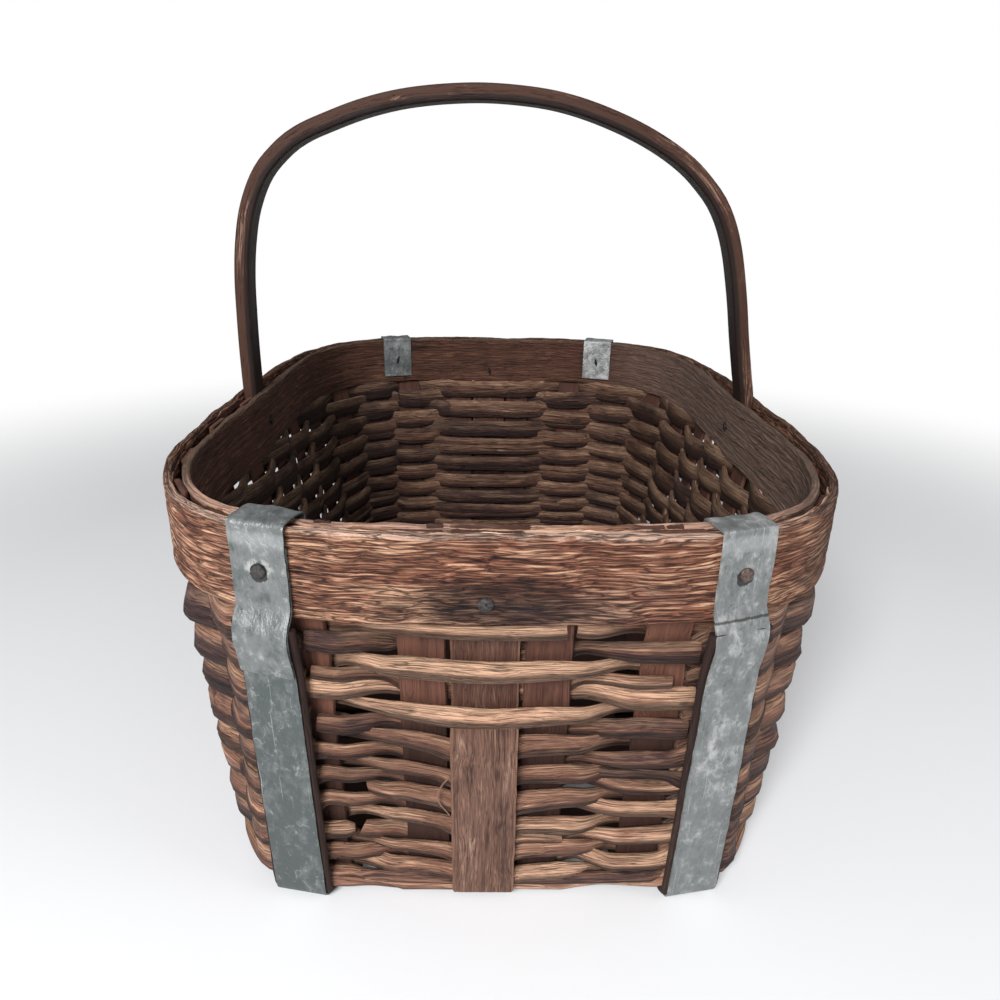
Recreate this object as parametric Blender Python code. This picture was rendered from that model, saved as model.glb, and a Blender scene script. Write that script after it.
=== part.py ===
"""A farm gathering basket: a willow-rod body woven on flat splint stakes, held between two bent
wooden hoops, with a fixed bow handle, wooden runners underneath and two galvanised steel straps.

Metres, +Z up. The basket stands on z = 0 with its origin under the middle. Its long side lies
along Y, its front end faces -Y, and the bow handle spans X.
"""

import math

import bmesh
import bpy
from mathutils import Vector

# Clearance between pieces that touch
CLEARANCE = 0.0003

# Rim: the outer hoop's outside face, a rounded oblong, and the two bent hoops
RIM_HALF_WIDTH = 0.172
RIM_HALF_LENGTH = 0.230
RIM_SQUARENESS = 3.7
RIM_HEIGHT = 0.200
HOOP_DEPTH = 0.040
OUTER_HOOP_THICKNESS = 0.004
INNER_HOOP_THICKNESS = 0.004
HOOP_STATIONS = 64

# Stakes: flat splints that cross under the base and stand up as the ribs of the walls
STAKE_WIDTH = 0.018
STAKE_THICKNESS = 0.0025
LENGTHWISE_SHIFT = -0.007
CROSSWISE_COUNT = 8
STAKE_BEND_RADIUS = 0.0055
BASE_FLAT_INSET = 0.035

# Walls: the stakes' middle surface, from a squarer, smaller base up to the hoops
BASE_HALF_WIDTH = 0.785 * RIM_HALF_WIDTH
BASE_HALF_LENGTH = 0.913 * RIM_HALF_LENGTH
BASE_SQUARENESS = 7.0
RIM_FLARE = 1.04
WALL_BULGE = 0.85
SHOULDER_DROP = 0.014
SHOULDER_INSET = 0.003

# Weavers: split rods, flat inside and narrower outside, one ring for each row. The rows are
# closest at the base, and a rod fills its share of the pitch there.
ROW_COUNT = 17
ROD_HEIGHT_SHARE = 0.88
ROD_DEPTH = 0.0055
ROD_OUTER_SHARE = 0.6
ROD_LEAN_SHARE = 0.6
LOWEST_ROW_Z = 0.0152
LOWEST_PITCH_SHARE = 0.846
TOP_ROW_DROP = 0.0068
STAKE_MARGIN = 0.0015
FOOT_ROD_Z = 0.0084
FOOT_ROD_HEIGHT = 0.0062
FOOT_ROD_DEPTH = 0.0045

# Runners: wooden skids over the rods, down the front, under the base and up the back
RUNNER_WIDTH = 0.030
RUNNER_THICKNESS = 0.0035
RUNNER_BEND_RADIUS = 0.005
RUNNER_TOP_DROP = 0.003
CENTRE_RUNNER_WIDTH = 0.0295
CENTRE_RUNNER_SPACE = 0.00225
CENTRE_RUNNER_THICKNESS = 0.003
CENTRE_OUT_ROW_FRONT = 12
CENTRE_OUT_ROW_BACK = 13

# Galvanised straps over the outer runners, folded over the rim
STRAP_X = 0.541 * RIM_HALF_WIDTH
STRAP_WIDTH = 0.0254
STRAP_THICKNESS = 0.001
STRAP_FOLD_DEPTH = 0.034
STRAP_CREASE_RISE = 0.005
STRAP_LAP_DROP = 0.008
STRAP_LAP_ROW = 14

# Bow handle: a bent stick whose ends stand between the hoops at the middle of the long sides
HANDLE_THICKNESS = 0.009
HANDLE_WIDTH = 0.017
HANDLE_OUTER_CHAMFER = 0.0015
HANDLE_INNER_CHAMFER = 0.004
HANDLE_RISE = 0.1822
HOOP_GAP_REACH = 0.826 * RIM_HALF_LENGTH

# Nails
NAIL_SHANK_RADIUS = 0.0014
NAIL_HEAD_RADIUS = 0.0033
NAIL_HEAD_HEIGHT = 0.0014
NAIL_TIP = 0.0016
NAIL_SIDES = 8
STRAP_NAIL_DROP = 0.019
RIM_NAIL_DROP = 0.030
HANDLE_NAIL_DROP = 0.020

# The bow's middle line from the rim round to the rim, each point as a share of a leg's distance
# from the middle and a share of the rise. The bow is not even: its top lies to the left.
HANDLE_SHARES = (
    (-1.000, 0.000),
    (-0.999, 0.152),
    (-0.995, 0.281),
    (-0.988, 0.405),
    (-0.971, 0.525),
    (-0.939, 0.642),
    (-0.880, 0.750),
    (-0.795, 0.829),
    (-0.734, 0.866),
    (-0.664, 0.895),
    (-0.500, 0.949),
    (-0.335, 0.983),
    (-0.130, 1.000),
    (0.035, 0.997),
    (0.197, 0.979),
    (0.361, 0.938),
    (0.530, 0.875),
    (0.674, 0.796),
    (0.776, 0.708),
    (0.818, 0.655),
    (0.850, 0.597),
    (0.874, 0.538),
    (0.893, 0.476),
    (0.924, 0.350),
    (0.950, 0.222),
    (0.980, 0.090),
    (1.000, 0.000),
)

# Places of the stakes: the inner pair beside the centre runner, the others spread over the base
INNER_PAIR_OFFSET = CENTRE_RUNNER_WIDTH / 2 + CENTRE_RUNNER_SPACE + STAKE_WIDTH / 2
NAIL_TO_STAKE = STAKE_WIDTH / 2 + NAIL_SHANK_RADIUS + 4 * CLEARANCE
QUARTER_OFFSET = STRAP_X + LENGTHWISE_SHIFT - NAIL_TO_STAKE / RIM_FLARE
CORNER_STAKE_X = 0.822 * BASE_HALF_WIDTH
CROSSWISE_PITCH = 0.238 * BASE_HALF_LENGTH

# Heights that follow from the sizes above
HOOP_BOTTOM = RIM_HEIGHT - HOOP_DEPTH
SHOULDER_Z = HOOP_BOTTOM - SHOULDER_DROP
RUNNER_LEVEL = STRAP_THICKNESS + CLEARANCE + RUNNER_THICKNESS / 2
CENTRE_RUNNER_LEVEL = RUNNER_LEVEL + (RUNNER_THICKNESS - CENTRE_RUNNER_THICKNESS) / 2
LENGTHWISE_LEVEL = RUNNER_LEVEL + RUNNER_THICKNESS / 2 + CLEARANCE + STAKE_THICKNESS / 2
CROSSWISE_LEVEL = LENGTHWISE_LEVEL + STAKE_THICKNESS + CLEARANCE
WEAVE_HEIGHT = HOOP_BOTTOM - TOP_ROW_DROP - LOWEST_ROW_Z
TALLEST_ROD = ROD_HEIGHT_SHARE * (2 - LOWEST_PITCH_SHARE) * WEAVE_HEIGHT / (ROW_COUNT - 1)
END_GAP = max(STAKE_THICKNESS, CENTRE_RUNNER_THICKNESS) + 3 * CLEARANCE
HANDLE_TOP = RIM_HEIGHT + HANDLE_RISE
HANDLE_GAP = HANDLE_THICKNESS + 2 * CLEARANCE
RUNNER_GAP = 3 * CLEARANCE

UP = Vector((0, 0, 1))


def clear_scene():
    for thing in list(bpy.data.objects):
        bpy.data.objects.remove(thing, do_unlink=True)


def make_material(name, colour, roughness, metallic=0.0):
    material = bpy.data.materials.new(name)
    material.use_nodes = True
    shader = material.node_tree.nodes["Principled BSDF"]
    shader.inputs["Base Color"].default_value = (*colour, 1.0)
    shader.inputs["Roughness"].default_value = roughness
    shader.inputs["Metallic"].default_value = metallic
    return material


def add_object(name, mesh, material):
    piece = bpy.data.objects.new(name, mesh)
    bpy.context.scene.collection.objects.link(piece)
    if material:
        mesh.materials.append(material)
    mesh.shade_smooth()
    mesh.set_sharp_from_angle(angle=math.radians(40))
    return piece


def loft_into(shape, sections, closed):
    """Adds a skin over rings of points that have the same count; open ends are capped.

    Each four-sided face starts at the corner that makes both sides of a twisted strip fold
    along the same diagonal, so that strips nest.
    """
    rings = [[shape.verts.new(point) for point in section] for section in sections]
    count = len(rings[0])
    spans = len(rings) if closed else len(rings) - 1
    for i in range(spans):
        here, there = rings[i], rings[(i + 1) % len(rings)]
        for j in range(count):
            k = (j + 1) % count
            corners = (here[j], here[k], there[k], there[j])
            if 2 * j >= count:
                corners = corners[1:] + corners[:1]
            shape.faces.new(corners)
    if not closed:
        shape.faces.new(rings[0])
        shape.faces.new(rings[-1])


def loft(name, sections, material, closed=False):
    shape = bmesh.new()
    loft_into(shape, sections, closed)
    bmesh.ops.triangulate(shape, faces=shape.faces, quad_method="FIXED")
    bmesh.ops.recalc_face_normals(shape, faces=shape.faces)
    mesh = bpy.data.meshes.new(name)
    shape.to_mesh(mesh)
    shape.free()
    return add_object(name, mesh, material)


# Plan curves: each gives a point and its outward direction on one face of a rounded oblong


def oblong_frame(face, along, half_width, half_length, squareness):
    """The point at x = along on the front or back, or at y = along on the left or right."""
    if face in ("front", "back"):
        share = abs(along / half_width) ** squareness
        across = half_length * (1 - share) ** (1 / squareness)
        point = Vector((along, across if face == "back" else -across, 0))
    else:
        share = abs(along / half_length) ** squareness
        across = half_width * (1 - share) ** (1 / squareness)
        point = Vector((across if face == "right" else -across, along, 0))
    return point, oblong_normal(point, half_width, half_length, squareness)


def oblong_normal(point, half_width, half_length, squareness):
    slope_x = math.copysign(abs(point.x / half_width) ** (squareness - 1) / half_width, point.x)
    slope_y = math.copysign(abs(point.y / half_length) ** (squareness - 1) / half_length, point.y)
    return Vector((slope_x, slope_y, 0)).normalized()


def hoop_gap(y):
    """The space between the hoops: the stakes' at the ends, wider at the sides for the handle."""
    if abs(y) >= HOOP_GAP_REACH:
        return END_GAP
    swell = math.cos(math.pi / 2 * y / HOOP_GAP_REACH) ** 2
    return END_GAP + (HANDLE_GAP - END_GAP) * swell


def rim_frame(face, along):
    """A point on the outer hoop's outside face."""
    return oblong_frame(face, along, RIM_HALF_WIDTH, RIM_HALF_LENGTH, RIM_SQUARENESS)


def hoop_seat(face, along, thickness):
    """Where a strip of this thickness stands against the inner hoop, and its outward direction."""

    def seat(place):
        outside, outward = rim_frame(face, place)
        depth = OUTER_HOOP_THICKNESS + hoop_gap(outside.y) - CLEARANCE - thickness / 2
        return outside - outward * depth, outward

    nudge = STAKE_WIDTH / 8
    point, facing = seat(along)
    run = seat(along + nudge)[0] - seat(along - nudge)[0]
    outward = run.cross(UP).normalized()
    if outward.dot(facing) < 0:
        outward.negate()
    return point, outward


def wall_frame(face, along, z, offset=0.0, thickness=STAKE_THICKNESS, lean=0.0):
    """A point on the stakes' middle surface at height z, with its directions along and outward.

    Above the shoulder the surface steps out to stand against the inner hoop. The wall leans,
    so a piece that bears on it lean above z is set by the surface at that height.
    """
    bearing = z + lean
    low, low_normal = oblong_frame(face, along, BASE_HALF_WIDTH, BASE_HALF_LENGTH, BASE_SQUARENESS)
    high, high_normal = hoop_seat(face, along * RIM_FLARE, thickness)
    shoulder = high - high_normal * SHOULDER_INSET
    rise = min(max((bearing - STAKE_BEND_RADIUS) / (SHOULDER_Z - STAKE_BEND_RADIUS), 0.0), 1.0)
    step = min(max((bearing - SHOULDER_Z) / (HOOP_BOTTOM - SHOULDER_Z), 0.0), 1.0)
    point = low.lerp(shoulder, rise**WALL_BULGE).lerp(high, step)
    outward = low_normal.lerp(high_normal, rise).normalized()
    point = point + outward * offset
    point.z = z
    return point, UP.cross(outward), outward


# Splints: flat strips that run down one wall, under the base and up the opposite wall


def strip_section(centre, across, outward, width, thickness):
    half_across = across * width / 2
    half_out = outward * thickness / 2
    return [
        centre + half_across + half_out,
        centre - half_across + half_out,
        centre - half_across - half_out,
        centre + half_across - half_out,
    ]


def bend_stations(face, along, level, radius, steps=3, **place):
    """From the foot of a wall round to the flat of the base."""
    foot, across, outward = wall_frame(face, along, level + radius, **place)
    hub = foot - outward * radius
    stations = []
    for i in range(steps + 1):
        turn = math.pi / 2 * i / steps
        facing = outward * math.cos(turn) - UP * math.sin(turn)
        stations.append((hub + facing * radius, across, facing))
    return stations


def base_station(face, along, offset, level):
    """The first station on the flat of the base, where the strip runs square to the wall."""
    half_size = BASE_HALF_LENGTH if face in ("front", "back") else BASE_HALF_WIDTH
    inner = half_size + offset - BASE_FLAT_INSET
    if face in ("front", "back"):
        centre = Vector((along, inner if face == "back" else -inner, level))
        across = Vector((-1 if face == "back" else 1, 0, 0))
    else:
        centre = Vector((inner if face == "right" else -inner, along, level))
        across = Vector((0, 1 if face == "right" else -1, 0))
    return centre, across, -UP


def wall_stations(face, along, heights, **place):
    return [wall_frame(face, along, z, **place) for z in heights]


def splint_half(face, along, heights, level, radius, **place):
    """Down a wall and round its foot; place gives wall_frame's offset, thickness and lean."""
    stations = wall_stations(face, along, heights, **place)
    stations += bend_stations(face, along, level, radius, **place)
    stations.append(base_station(face, along, place.get("offset", 0.0), level))
    return stations


def join_halves(first, second):
    """One run of stations from the top of one wall to the top of the other."""
    flipped = [(centre, -across, outward) for centre, across, outward in reversed(second)]
    return first + flipped


def strip(name, stations, width, thickness, material):
    sections = [
        strip_section(centre, across, outward, width, thickness)
        for centre, across, outward in stations
    ]
    return loft(name, sections, material)


def stake(name, faces, along, level, material):
    rows = range(STRAP_LAP_ROW - 3, 0, -5)
    heights = (RIM_HEIGHT, HOOP_BOTTOM, SHOULDER_Z, *(row_height(row) for row in rows))
    halves = [
        splint_half(face, along, heights, level, STAKE_BEND_RADIUS)
        for face in faces
    ]
    return strip(name, join_halves(*halves), STAKE_WIDTH, STAKE_THICKNESS, material)


def lengthwise_places():
    shift = LENGTHWISE_SHIFT
    return (
        -CORNER_STAKE_X,
        shift - QUARTER_OFFSET,
        shift - INNER_PAIR_OFFSET,
        shift + INNER_PAIR_OFFSET,
        shift + QUARTER_OFFSET,
        CORNER_STAKE_X,
    )


def crosswise_places():
    first = -CROSSWISE_PITCH * (CROSSWISE_COUNT - 1) / 2
    return [first + CROSSWISE_PITCH * i for i in range(CROSSWISE_COUNT)]


def make_stakes(material):
    for i, x in enumerate(lengthwise_places(), 1):
        stake(f"lengthwise_stake_{i}", ("front", "back"), x, LENGTHWISE_LEVEL, material)
    for i, y in enumerate(crosswise_places(), 1):
        stake(f"crosswise_stake_{i}", ("left", "right"), y, CROSSWISE_LEVEL, material)


# Weavers: every row passes outside one stake and inside the next, and the rows alternate


def weaving_units():
    """The uprights in order round the basket, as (face, places along it); a unit of three
    places is the inner pair of stakes with the centre runner, which the rods cross together."""
    outer_left, left, inner_left, inner_right, right, outer_right = lengthwise_places()
    middle = (inner_left, LENGTHWISE_SHIFT, inner_right)
    front = [(outer_left,), (left,), middle, (right,), (outer_right,)]
    side = [(y,) for y in crosswise_places()]
    units = [("front", places) for places in front]
    units += [("right", places) for places in side]
    units += [("back", tuple(reversed(places))) for places in reversed(front)]
    units += [("left", places) for places in reversed(side)]
    return units


def row_height(row):
    """The rows grow further apart from the base to the rim."""
    share = row / (ROW_COUNT - 1)
    widening = LOWEST_PITCH_SHARE * share + (1 - LOWEST_PITCH_SHARE) * share * share
    return LOWEST_ROW_Z + WEAVE_HEIGHT * widening


def rod_height(row):
    return ROD_HEIGHT_SHARE * (row_height(row + 1) - row_height(row - 1)) / 2


def bearing_heights():
    """The top row and every third row from the lap down: where the outer strips have stations."""
    rows = [ROW_COUNT - 1, *range(STRAP_LAP_ROW, 1, -3)]
    return [row_height(row) for row in rows]


def rod_section(centre, outward, height, depth):
    """A split rod: flat inside and narrower outside."""
    inner, outer = height / 2, height / 2 * ROD_OUTER_SHARE
    return [
        centre - outward * depth / 2 - UP * inner,
        centre + outward * depth / 2 - UP * outer,
        centre + outward * depth / 2 + UP * outer,
        centre - outward * depth / 2 + UP * inner,
    ]


def rod_station(face, along, edge, sway, z, height, depth):
    """Where a rod passes an upright; sway is how far its middle lies outside the stakes'."""
    lean = math.copysign(height * ROD_LEAN_SHARE, sway)
    point, across, outward = wall_frame(face, along, z, offset=sway, lean=lean)
    return rod_section(point + across * edge, outward, height, depth)


def rod_ring(name, z, height, depth, side_of_unit, material):
    """side_of_unit gives 1 where the rod passes outside the upright and -1 where inside."""
    sections = []
    half = STAKE_WIDTH / 2 + STAKE_MARGIN
    for i, (face, places) in enumerate(weaving_units()):
        if len(places) == 1:
            edges = [(places[0], -half), (places[0], half)]
            thickness = STAKE_THICKNESS
        else:
            edges = [(places[0], -half), (places[1], 0.0), (places[2], half)]
            thickness = max(STAKE_THICKNESS, CENTRE_RUNNER_THICKNESS)
        sway = side_of_unit(i) * (thickness / 2 + CLEARANCE + depth / 2)
        for along, edge in edges:
            sections.append(rod_station(face, along, edge, sway, z, height, depth))
    return loft(name, sections, material, closed=True)


def weaver_row(row, material):
    def side_of_unit(i):
        return -1 if (i + row) % 2 else 1

    name = f"weaver_row_{row + 1:02d}"
    rod_ring(name, row_height(row), rod_height(row), ROD_DEPTH, side_of_unit, material)


def foot_rod(material):
    """The lowest rod lies outside every upright, in the corner above the runners' bends."""
    rod_ring("foot_rod", FOOT_ROD_Z, FOOT_ROD_HEIGHT, FOOT_ROD_DEPTH, lambda i: 1, material)


# Runners


def over_rods(thickness, gap=CLEARANCE, upright=STAKE_THICKNESS):
    """The place of a strip whose inner face lies gap outside the rods that cross an upright."""
    reach = upright / 2 + CLEARANCE + ROD_DEPTH
    lean = TALLEST_ROD * ROD_LEAN_SHARE
    return {"offset": reach + gap + thickness / 2, "thickness": upright, "lean": lean}


def outer_runner_heights():
    """The runner's top end, and the rows of rods that set its line."""
    return [HOOP_BOTTOM - RUNNER_TOP_DROP] + bearing_heights()


def outer_runner(name, x, material):
    place = over_rods(RUNNER_THICKNESS, RUNNER_GAP)
    heights = outer_runner_heights()
    halves = [
        splint_half(face, x, heights, RUNNER_LEVEL, RUNNER_BEND_RADIUS, **place)
        for face in ("front", "back")
    ]
    return strip(name, join_halves(*halves), RUNNER_WIDTH, RUNNER_THICKNESS, material)


def centre_runner_half(face, lowest_over_row):
    """The splint starts between the hoops, goes behind the highest rods and comes out
    through the weave below lowest_over_row; from there it lies over the rods."""
    x = LENGTHWISE_SHIFT
    thickness = CENTRE_RUNNER_THICKNESS
    leaves = row_height(lowest_over_row) - TALLEST_ROD / 2 - 2 * CLEARANCE
    arrives = row_height(lowest_over_row - 2) + TALLEST_ROD / 2 + 2 * CLEARANCE
    behind = (RIM_HEIGHT, HOOP_BOTTOM, SHOULDER_Z, leaves)
    tucked = wall_stations(face, x, behind, thickness=thickness)
    place = over_rods(thickness, upright=thickness)
    heights = (arrives, row_height(lowest_over_row // 2), row_height(2))
    return tucked + splint_half(
        face, x, heights, CENTRE_RUNNER_LEVEL, RUNNER_BEND_RADIUS, **place
    )


def make_centre_runner(material):
    front = centre_runner_half("front", lowest_over_row=CENTRE_OUT_ROW_FRONT)
    back = centre_runner_half("back", lowest_over_row=CENTRE_OUT_ROW_BACK)
    stations = join_halves(front, back)
    return strip(
        "centre_runner", stations, CENTRE_RUNNER_WIDTH, CENTRE_RUNNER_THICKNESS, material
    )


# Straps


def hoop_inside(face, along):
    """A point on the inner hoop's inside face."""
    outside, outward = rim_frame(face, along)
    return outside - outward * (OUTER_HOOP_THICKNESS + hoop_gap(outside.y) + INNER_HOOP_THICKNESS)


def strap_over_hoop(face, x, lift, fold_depth):
    """From the folded end inside the rim, over the top and down the outer hoop's face.

    lift is the gap between the strap's middle and the wood, more for a strap on a strap.
    Inside, the flat strap bridges the hollow of the hoop, so its edges set its place.
    """
    place, half = x * RIM_FLARE, STRAP_WIDTH * 0.6
    outside, outward = rim_frame(face, place)
    across = UP.cross(outward)
    inside = (hoop_inside(face, place - half) + hoop_inside(face, place + half)) / 2
    up_and_in = (UP - outward).normalized()
    up_and_out = (UP + outward).normalized()
    rim_top = UP * RIM_HEIGHT
    return [
        (inside - outward * lift + UP * (RIM_HEIGHT - fold_depth), across, -outward),
        (inside - outward * lift + rim_top, across, -outward),
        (inside + up_and_in * lift + rim_top, across, up_and_in),
        (inside + UP * lift + rim_top, across, UP),
        (outside + UP * lift + rim_top, across, UP),
        (outside + up_and_out * lift + rim_top, across, up_and_out),
        (outside + outward * lift + rim_top, across, outward),
        (outside + outward * lift + UP * strap_crease(), across, outward),
    ]


def strap_crease():
    """Where a strap leaves the hoop to pass outside the runner."""
    return HOOP_BOTTOM + STRAP_CREASE_RISE


def strap_place(lift):
    return over_rods(STRAP_THICKNESS, RUNNER_GAP + RUNNER_THICKNESS + lift - STRAP_THICKNESS / 2)


def strap_down_wall(face, x, lift):
    level = STRAP_THICKNESS / 2
    radius = RUNNER_BEND_RADIUS + RUNNER_THICKNESS / 2 + CLEARANCE + STRAP_THICKNESS / 2
    return splint_half(face, x, outer_runner_heights(), level, radius, **strap_place(lift))


def strap_half(face, x, lift):
    return strap_over_hoop(face, x, lift, STRAP_FOLD_DEPTH) + strap_down_wall(face, x, lift)


def strap_lift():
    return CLEARANCE + STRAP_THICKNESS / 2


def right_strap(material):
    halves = [strap_half(face, STRAP_X, strap_lift()) for face in ("front", "back")]
    return strip("right_strap", join_halves(*halves), STRAP_WIDTH, STRAP_THICKNESS, material)


def left_strap(material):
    """The long length stops on the front of the hoop, under the hook piece."""
    lift = strap_lift()
    outside, outward = rim_frame("front", -STRAP_X * RIM_FLARE)
    across = UP.cross(outward)
    face_point = outside + outward * lift
    front = [
        (face_point + UP * (RIM_HEIGHT - STRAP_LAP_DROP), across, outward),
        (face_point + UP * strap_crease(), across, outward),
    ]
    front += strap_down_wall("front", -STRAP_X, lift)
    back = strap_half("back", -STRAP_X, lift)
    return strip("left_strap", join_halves(front, back), STRAP_WIDTH, STRAP_THICKNESS, material)


def left_strap_hook(material):
    """A second, short length over the first, folded over the rim."""
    lift = strap_lift() + STRAP_THICKNESS + CLEARANCE
    stations = strap_over_hoop("front", -STRAP_X, lift, STRAP_FOLD_DEPTH)
    heights = outer_runner_heights()[:3]
    stations += wall_stations("front", -STRAP_X, heights, **strap_place(lift))
    return strip("left_strap_hook", stations, STRAP_WIDTH, STRAP_THICKNESS, material)


# Hoops


def hoop_outline(count):
    """Points evenly spaced along the outer hoop's outside face."""
    fine = []
    for i in range(count * 20):
        angle = 2 * math.pi * i / (count * 20)
        reach_x = abs(math.cos(angle) / RIM_HALF_WIDTH) ** RIM_SQUARENESS
        reach_y = abs(math.sin(angle) / RIM_HALF_LENGTH) ** RIM_SQUARENESS
        reach = (reach_x + reach_y) ** (-1 / RIM_SQUARENESS)
        fine.append(Vector((reach * math.cos(angle), reach * math.sin(angle), 0)))
    lengths = [(fine[i] - fine[i - 1]).length for i in range(len(fine))]
    step = sum(lengths) / count
    points, travelled = [], 0.0
    for point, length in zip(fine, lengths[1:] + lengths[:1]):
        if len(points) < count and travelled >= step * len(points) - 1e-9:
            points.append(point)
        travelled += length
    return points


def hoop_section(point, outward, far, near):
    """Upright rectangle between two depths behind the outer hoop's outside face."""
    return [
        point - outward * far + UP * HOOP_BOTTOM,
        point - outward * near + UP * HOOP_BOTTOM,
        point - outward * near + UP * RIM_HEIGHT,
        point - outward * far + UP * RIM_HEIGHT,
    ]


def make_hoops(material):
    outer, inner = [], []
    for point in hoop_outline(HOOP_STATIONS):
        outward = oblong_normal(point, RIM_HALF_WIDTH, RIM_HALF_LENGTH, RIM_SQUARENESS)
        start = OUTER_HOOP_THICKNESS + hoop_gap(point.y)
        outer.append(hoop_section(point, outward, OUTER_HOOP_THICKNESS, 0.0))
        inner.append(hoop_section(point, outward, start + INNER_HOOP_THICKNESS, start))
    return (
        loft("outer_hoop", outer, material, closed=True),
        loft("inner_hoop", inner, material, closed=True),
    )


# Bow handle


def handle_leg_x():
    return RIM_HALF_WIDTH - OUTER_HOOP_THICKNESS - CLEARANCE - HANDLE_THICKNESS / 2


def handle_line():
    """The stick's middle line as points in X and Z, from the left foot to the right foot."""
    leg, foot = handle_leg_x(), HOOP_BOTTOM + CLEARANCE
    rise = HANDLE_TOP - HANDLE_THICKNESS / 2 - RIM_HEIGHT
    line = [(-leg, foot)]
    line += [(leg * x, RIM_HEIGHT + rise * z) for x, z in HANDLE_SHARES]
    line.append((leg, foot))
    return [Vector((x, 0, z)) for x, z in line]


def handle_section(centre, outward):
    """Shaved stick: nearly square outside edges, wide chamfers on the side that is gripped."""
    out, wide = HANDLE_THICKNESS / 2, HANDLE_WIDTH / 2
    small, large = HANDLE_OUTER_CHAMFER, HANDLE_INNER_CHAMFER
    corners = [
        (out, -wide + small),
        (out, wide - small),
        (out - small, wide),
        (-out + large, wide),
        (-out, wide - large),
        (-out, -wide + large),
        (-out + large, -wide),
        (out - small, -wide),
    ]
    return [centre + outward * a + Vector((0, b, 0)) for a, b in corners]


def make_handle(material):
    line = handle_line()
    sections = []
    for i, point in enumerate(line):
        before, after = line[max(i - 1, 0)], line[min(i + 1, len(line) - 1)]
        if 1 < i < len(line) - 2:
            run = (after - before).normalized()
        else:
            run = UP if i < 2 else -UP
        outward = Vector((-run.z, 0, run.x))
        sections.append(handle_section(point, outward))
    return loft("bow_handle", sections, material)


# Nails: each is a frame on the outside surface, with its head there and its tip inside


def circle(centre, outward, radius):
    across = UP.cross(outward)
    points = []
    for i in range(NAIL_SIDES):
        angle = 2 * math.pi * (i + 0.5) / NAIL_SIDES
        points.append(centre + (across * math.cos(angle) + UP * math.sin(angle)) * radius)
    return points


def nail(name, seat, outward, length, material):
    """seat is the point under the head."""
    profile = (
        (NAIL_HEAD_HEIGHT, NAIL_HEAD_RADIUS * 0.45),
        (NAIL_HEAD_HEIGHT * 0.6, NAIL_HEAD_RADIUS * 0.9),
        (0.0, NAIL_HEAD_RADIUS),
        (0.0, NAIL_SHANK_RADIUS),
        (-length + NAIL_SHANK_RADIUS, NAIL_SHANK_RADIUS),
        (-length, NAIL_SHANK_RADIUS * 0.4),
    )
    sections = [circle(seat + outward * rise, outward, radius) for rise, radius in profile]
    return loft(name, sections, material)


def nail_places():
    """Each nail's name, the point under its head, its direction and its length."""
    rim_depth = OUTER_HOOP_THICKNESS + END_GAP + INNER_HOOP_THICKNESS
    strap_layer = STRAP_THICKNESS + CLEARANCE
    places = []
    for face in ("front", "back"):
        for side, label in ((-1, "left"), (1, "right")):
            point, outward = rim_frame(face, side * STRAP_X * RIM_FLARE)
            layers = 2 if (face, label) == ("front", "left") else 1
            seat = point + outward * (layers * strap_layer + CLEARANCE)
            length = rim_depth + 2 * layers * strap_layer + CLEARANCE + NAIL_TIP
            seat.z = RIM_HEIGHT - STRAP_NAIL_DROP
            places.append((f"strap_nail_{face}_{label}", seat, outward, length))
        point, outward = rim_frame(face, LENGTHWISE_SHIFT * RIM_FLARE)
        seat = point + outward * CLEARANCE
        seat.z = RIM_HEIGHT - RIM_NAIL_DROP
        places.append((f"rim_nail_{face}", seat, outward, rim_depth + CLEARANCE + NAIL_TIP))
    handle_depth = OUTER_HOOP_THICKNESS + HANDLE_GAP + INNER_HOOP_THICKNESS
    for face in ("left", "right"):
        point, outward = rim_frame(face, 0.0)
        seat = point + outward * CLEARANCE
        seat.z = RIM_HEIGHT - HANDLE_NAIL_DROP
        places.append((f"handle_nail_{face}", seat, outward, handle_depth + CLEARANCE + NAIL_TIP))
    return places


def nail_hole_cutter(places):
    """Drills a hole for every nail with CLEARANCE round its shank."""
    shape = bmesh.new()
    radius = NAIL_SHANK_RADIUS + CLEARANCE
    for _, seat, outward, length in places:
        start = circle(seat + outward * NAIL_HEAD_HEIGHT, outward, radius)
        end = circle(seat - outward * (length + NAIL_TIP), outward, radius)
        loft_into(shape, (start, end), closed=False)
    bmesh.ops.recalc_face_normals(shape, faces=shape.faces)
    mesh = bpy.data.meshes.new("nail_holes")
    shape.to_mesh(mesh)
    shape.free()
    cutter = add_object("nail_holes", mesh, None)
    cutter.hide_render = True
    cutter.display_type = "WIRE"
    return cutter


def drill(piece, cutter):
    cut = piece.modifiers.new("nail_holes", "BOOLEAN")
    cut.operation = "DIFFERENCE"
    cut.solver = "EXACT"
    cut.object = cutter


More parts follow.
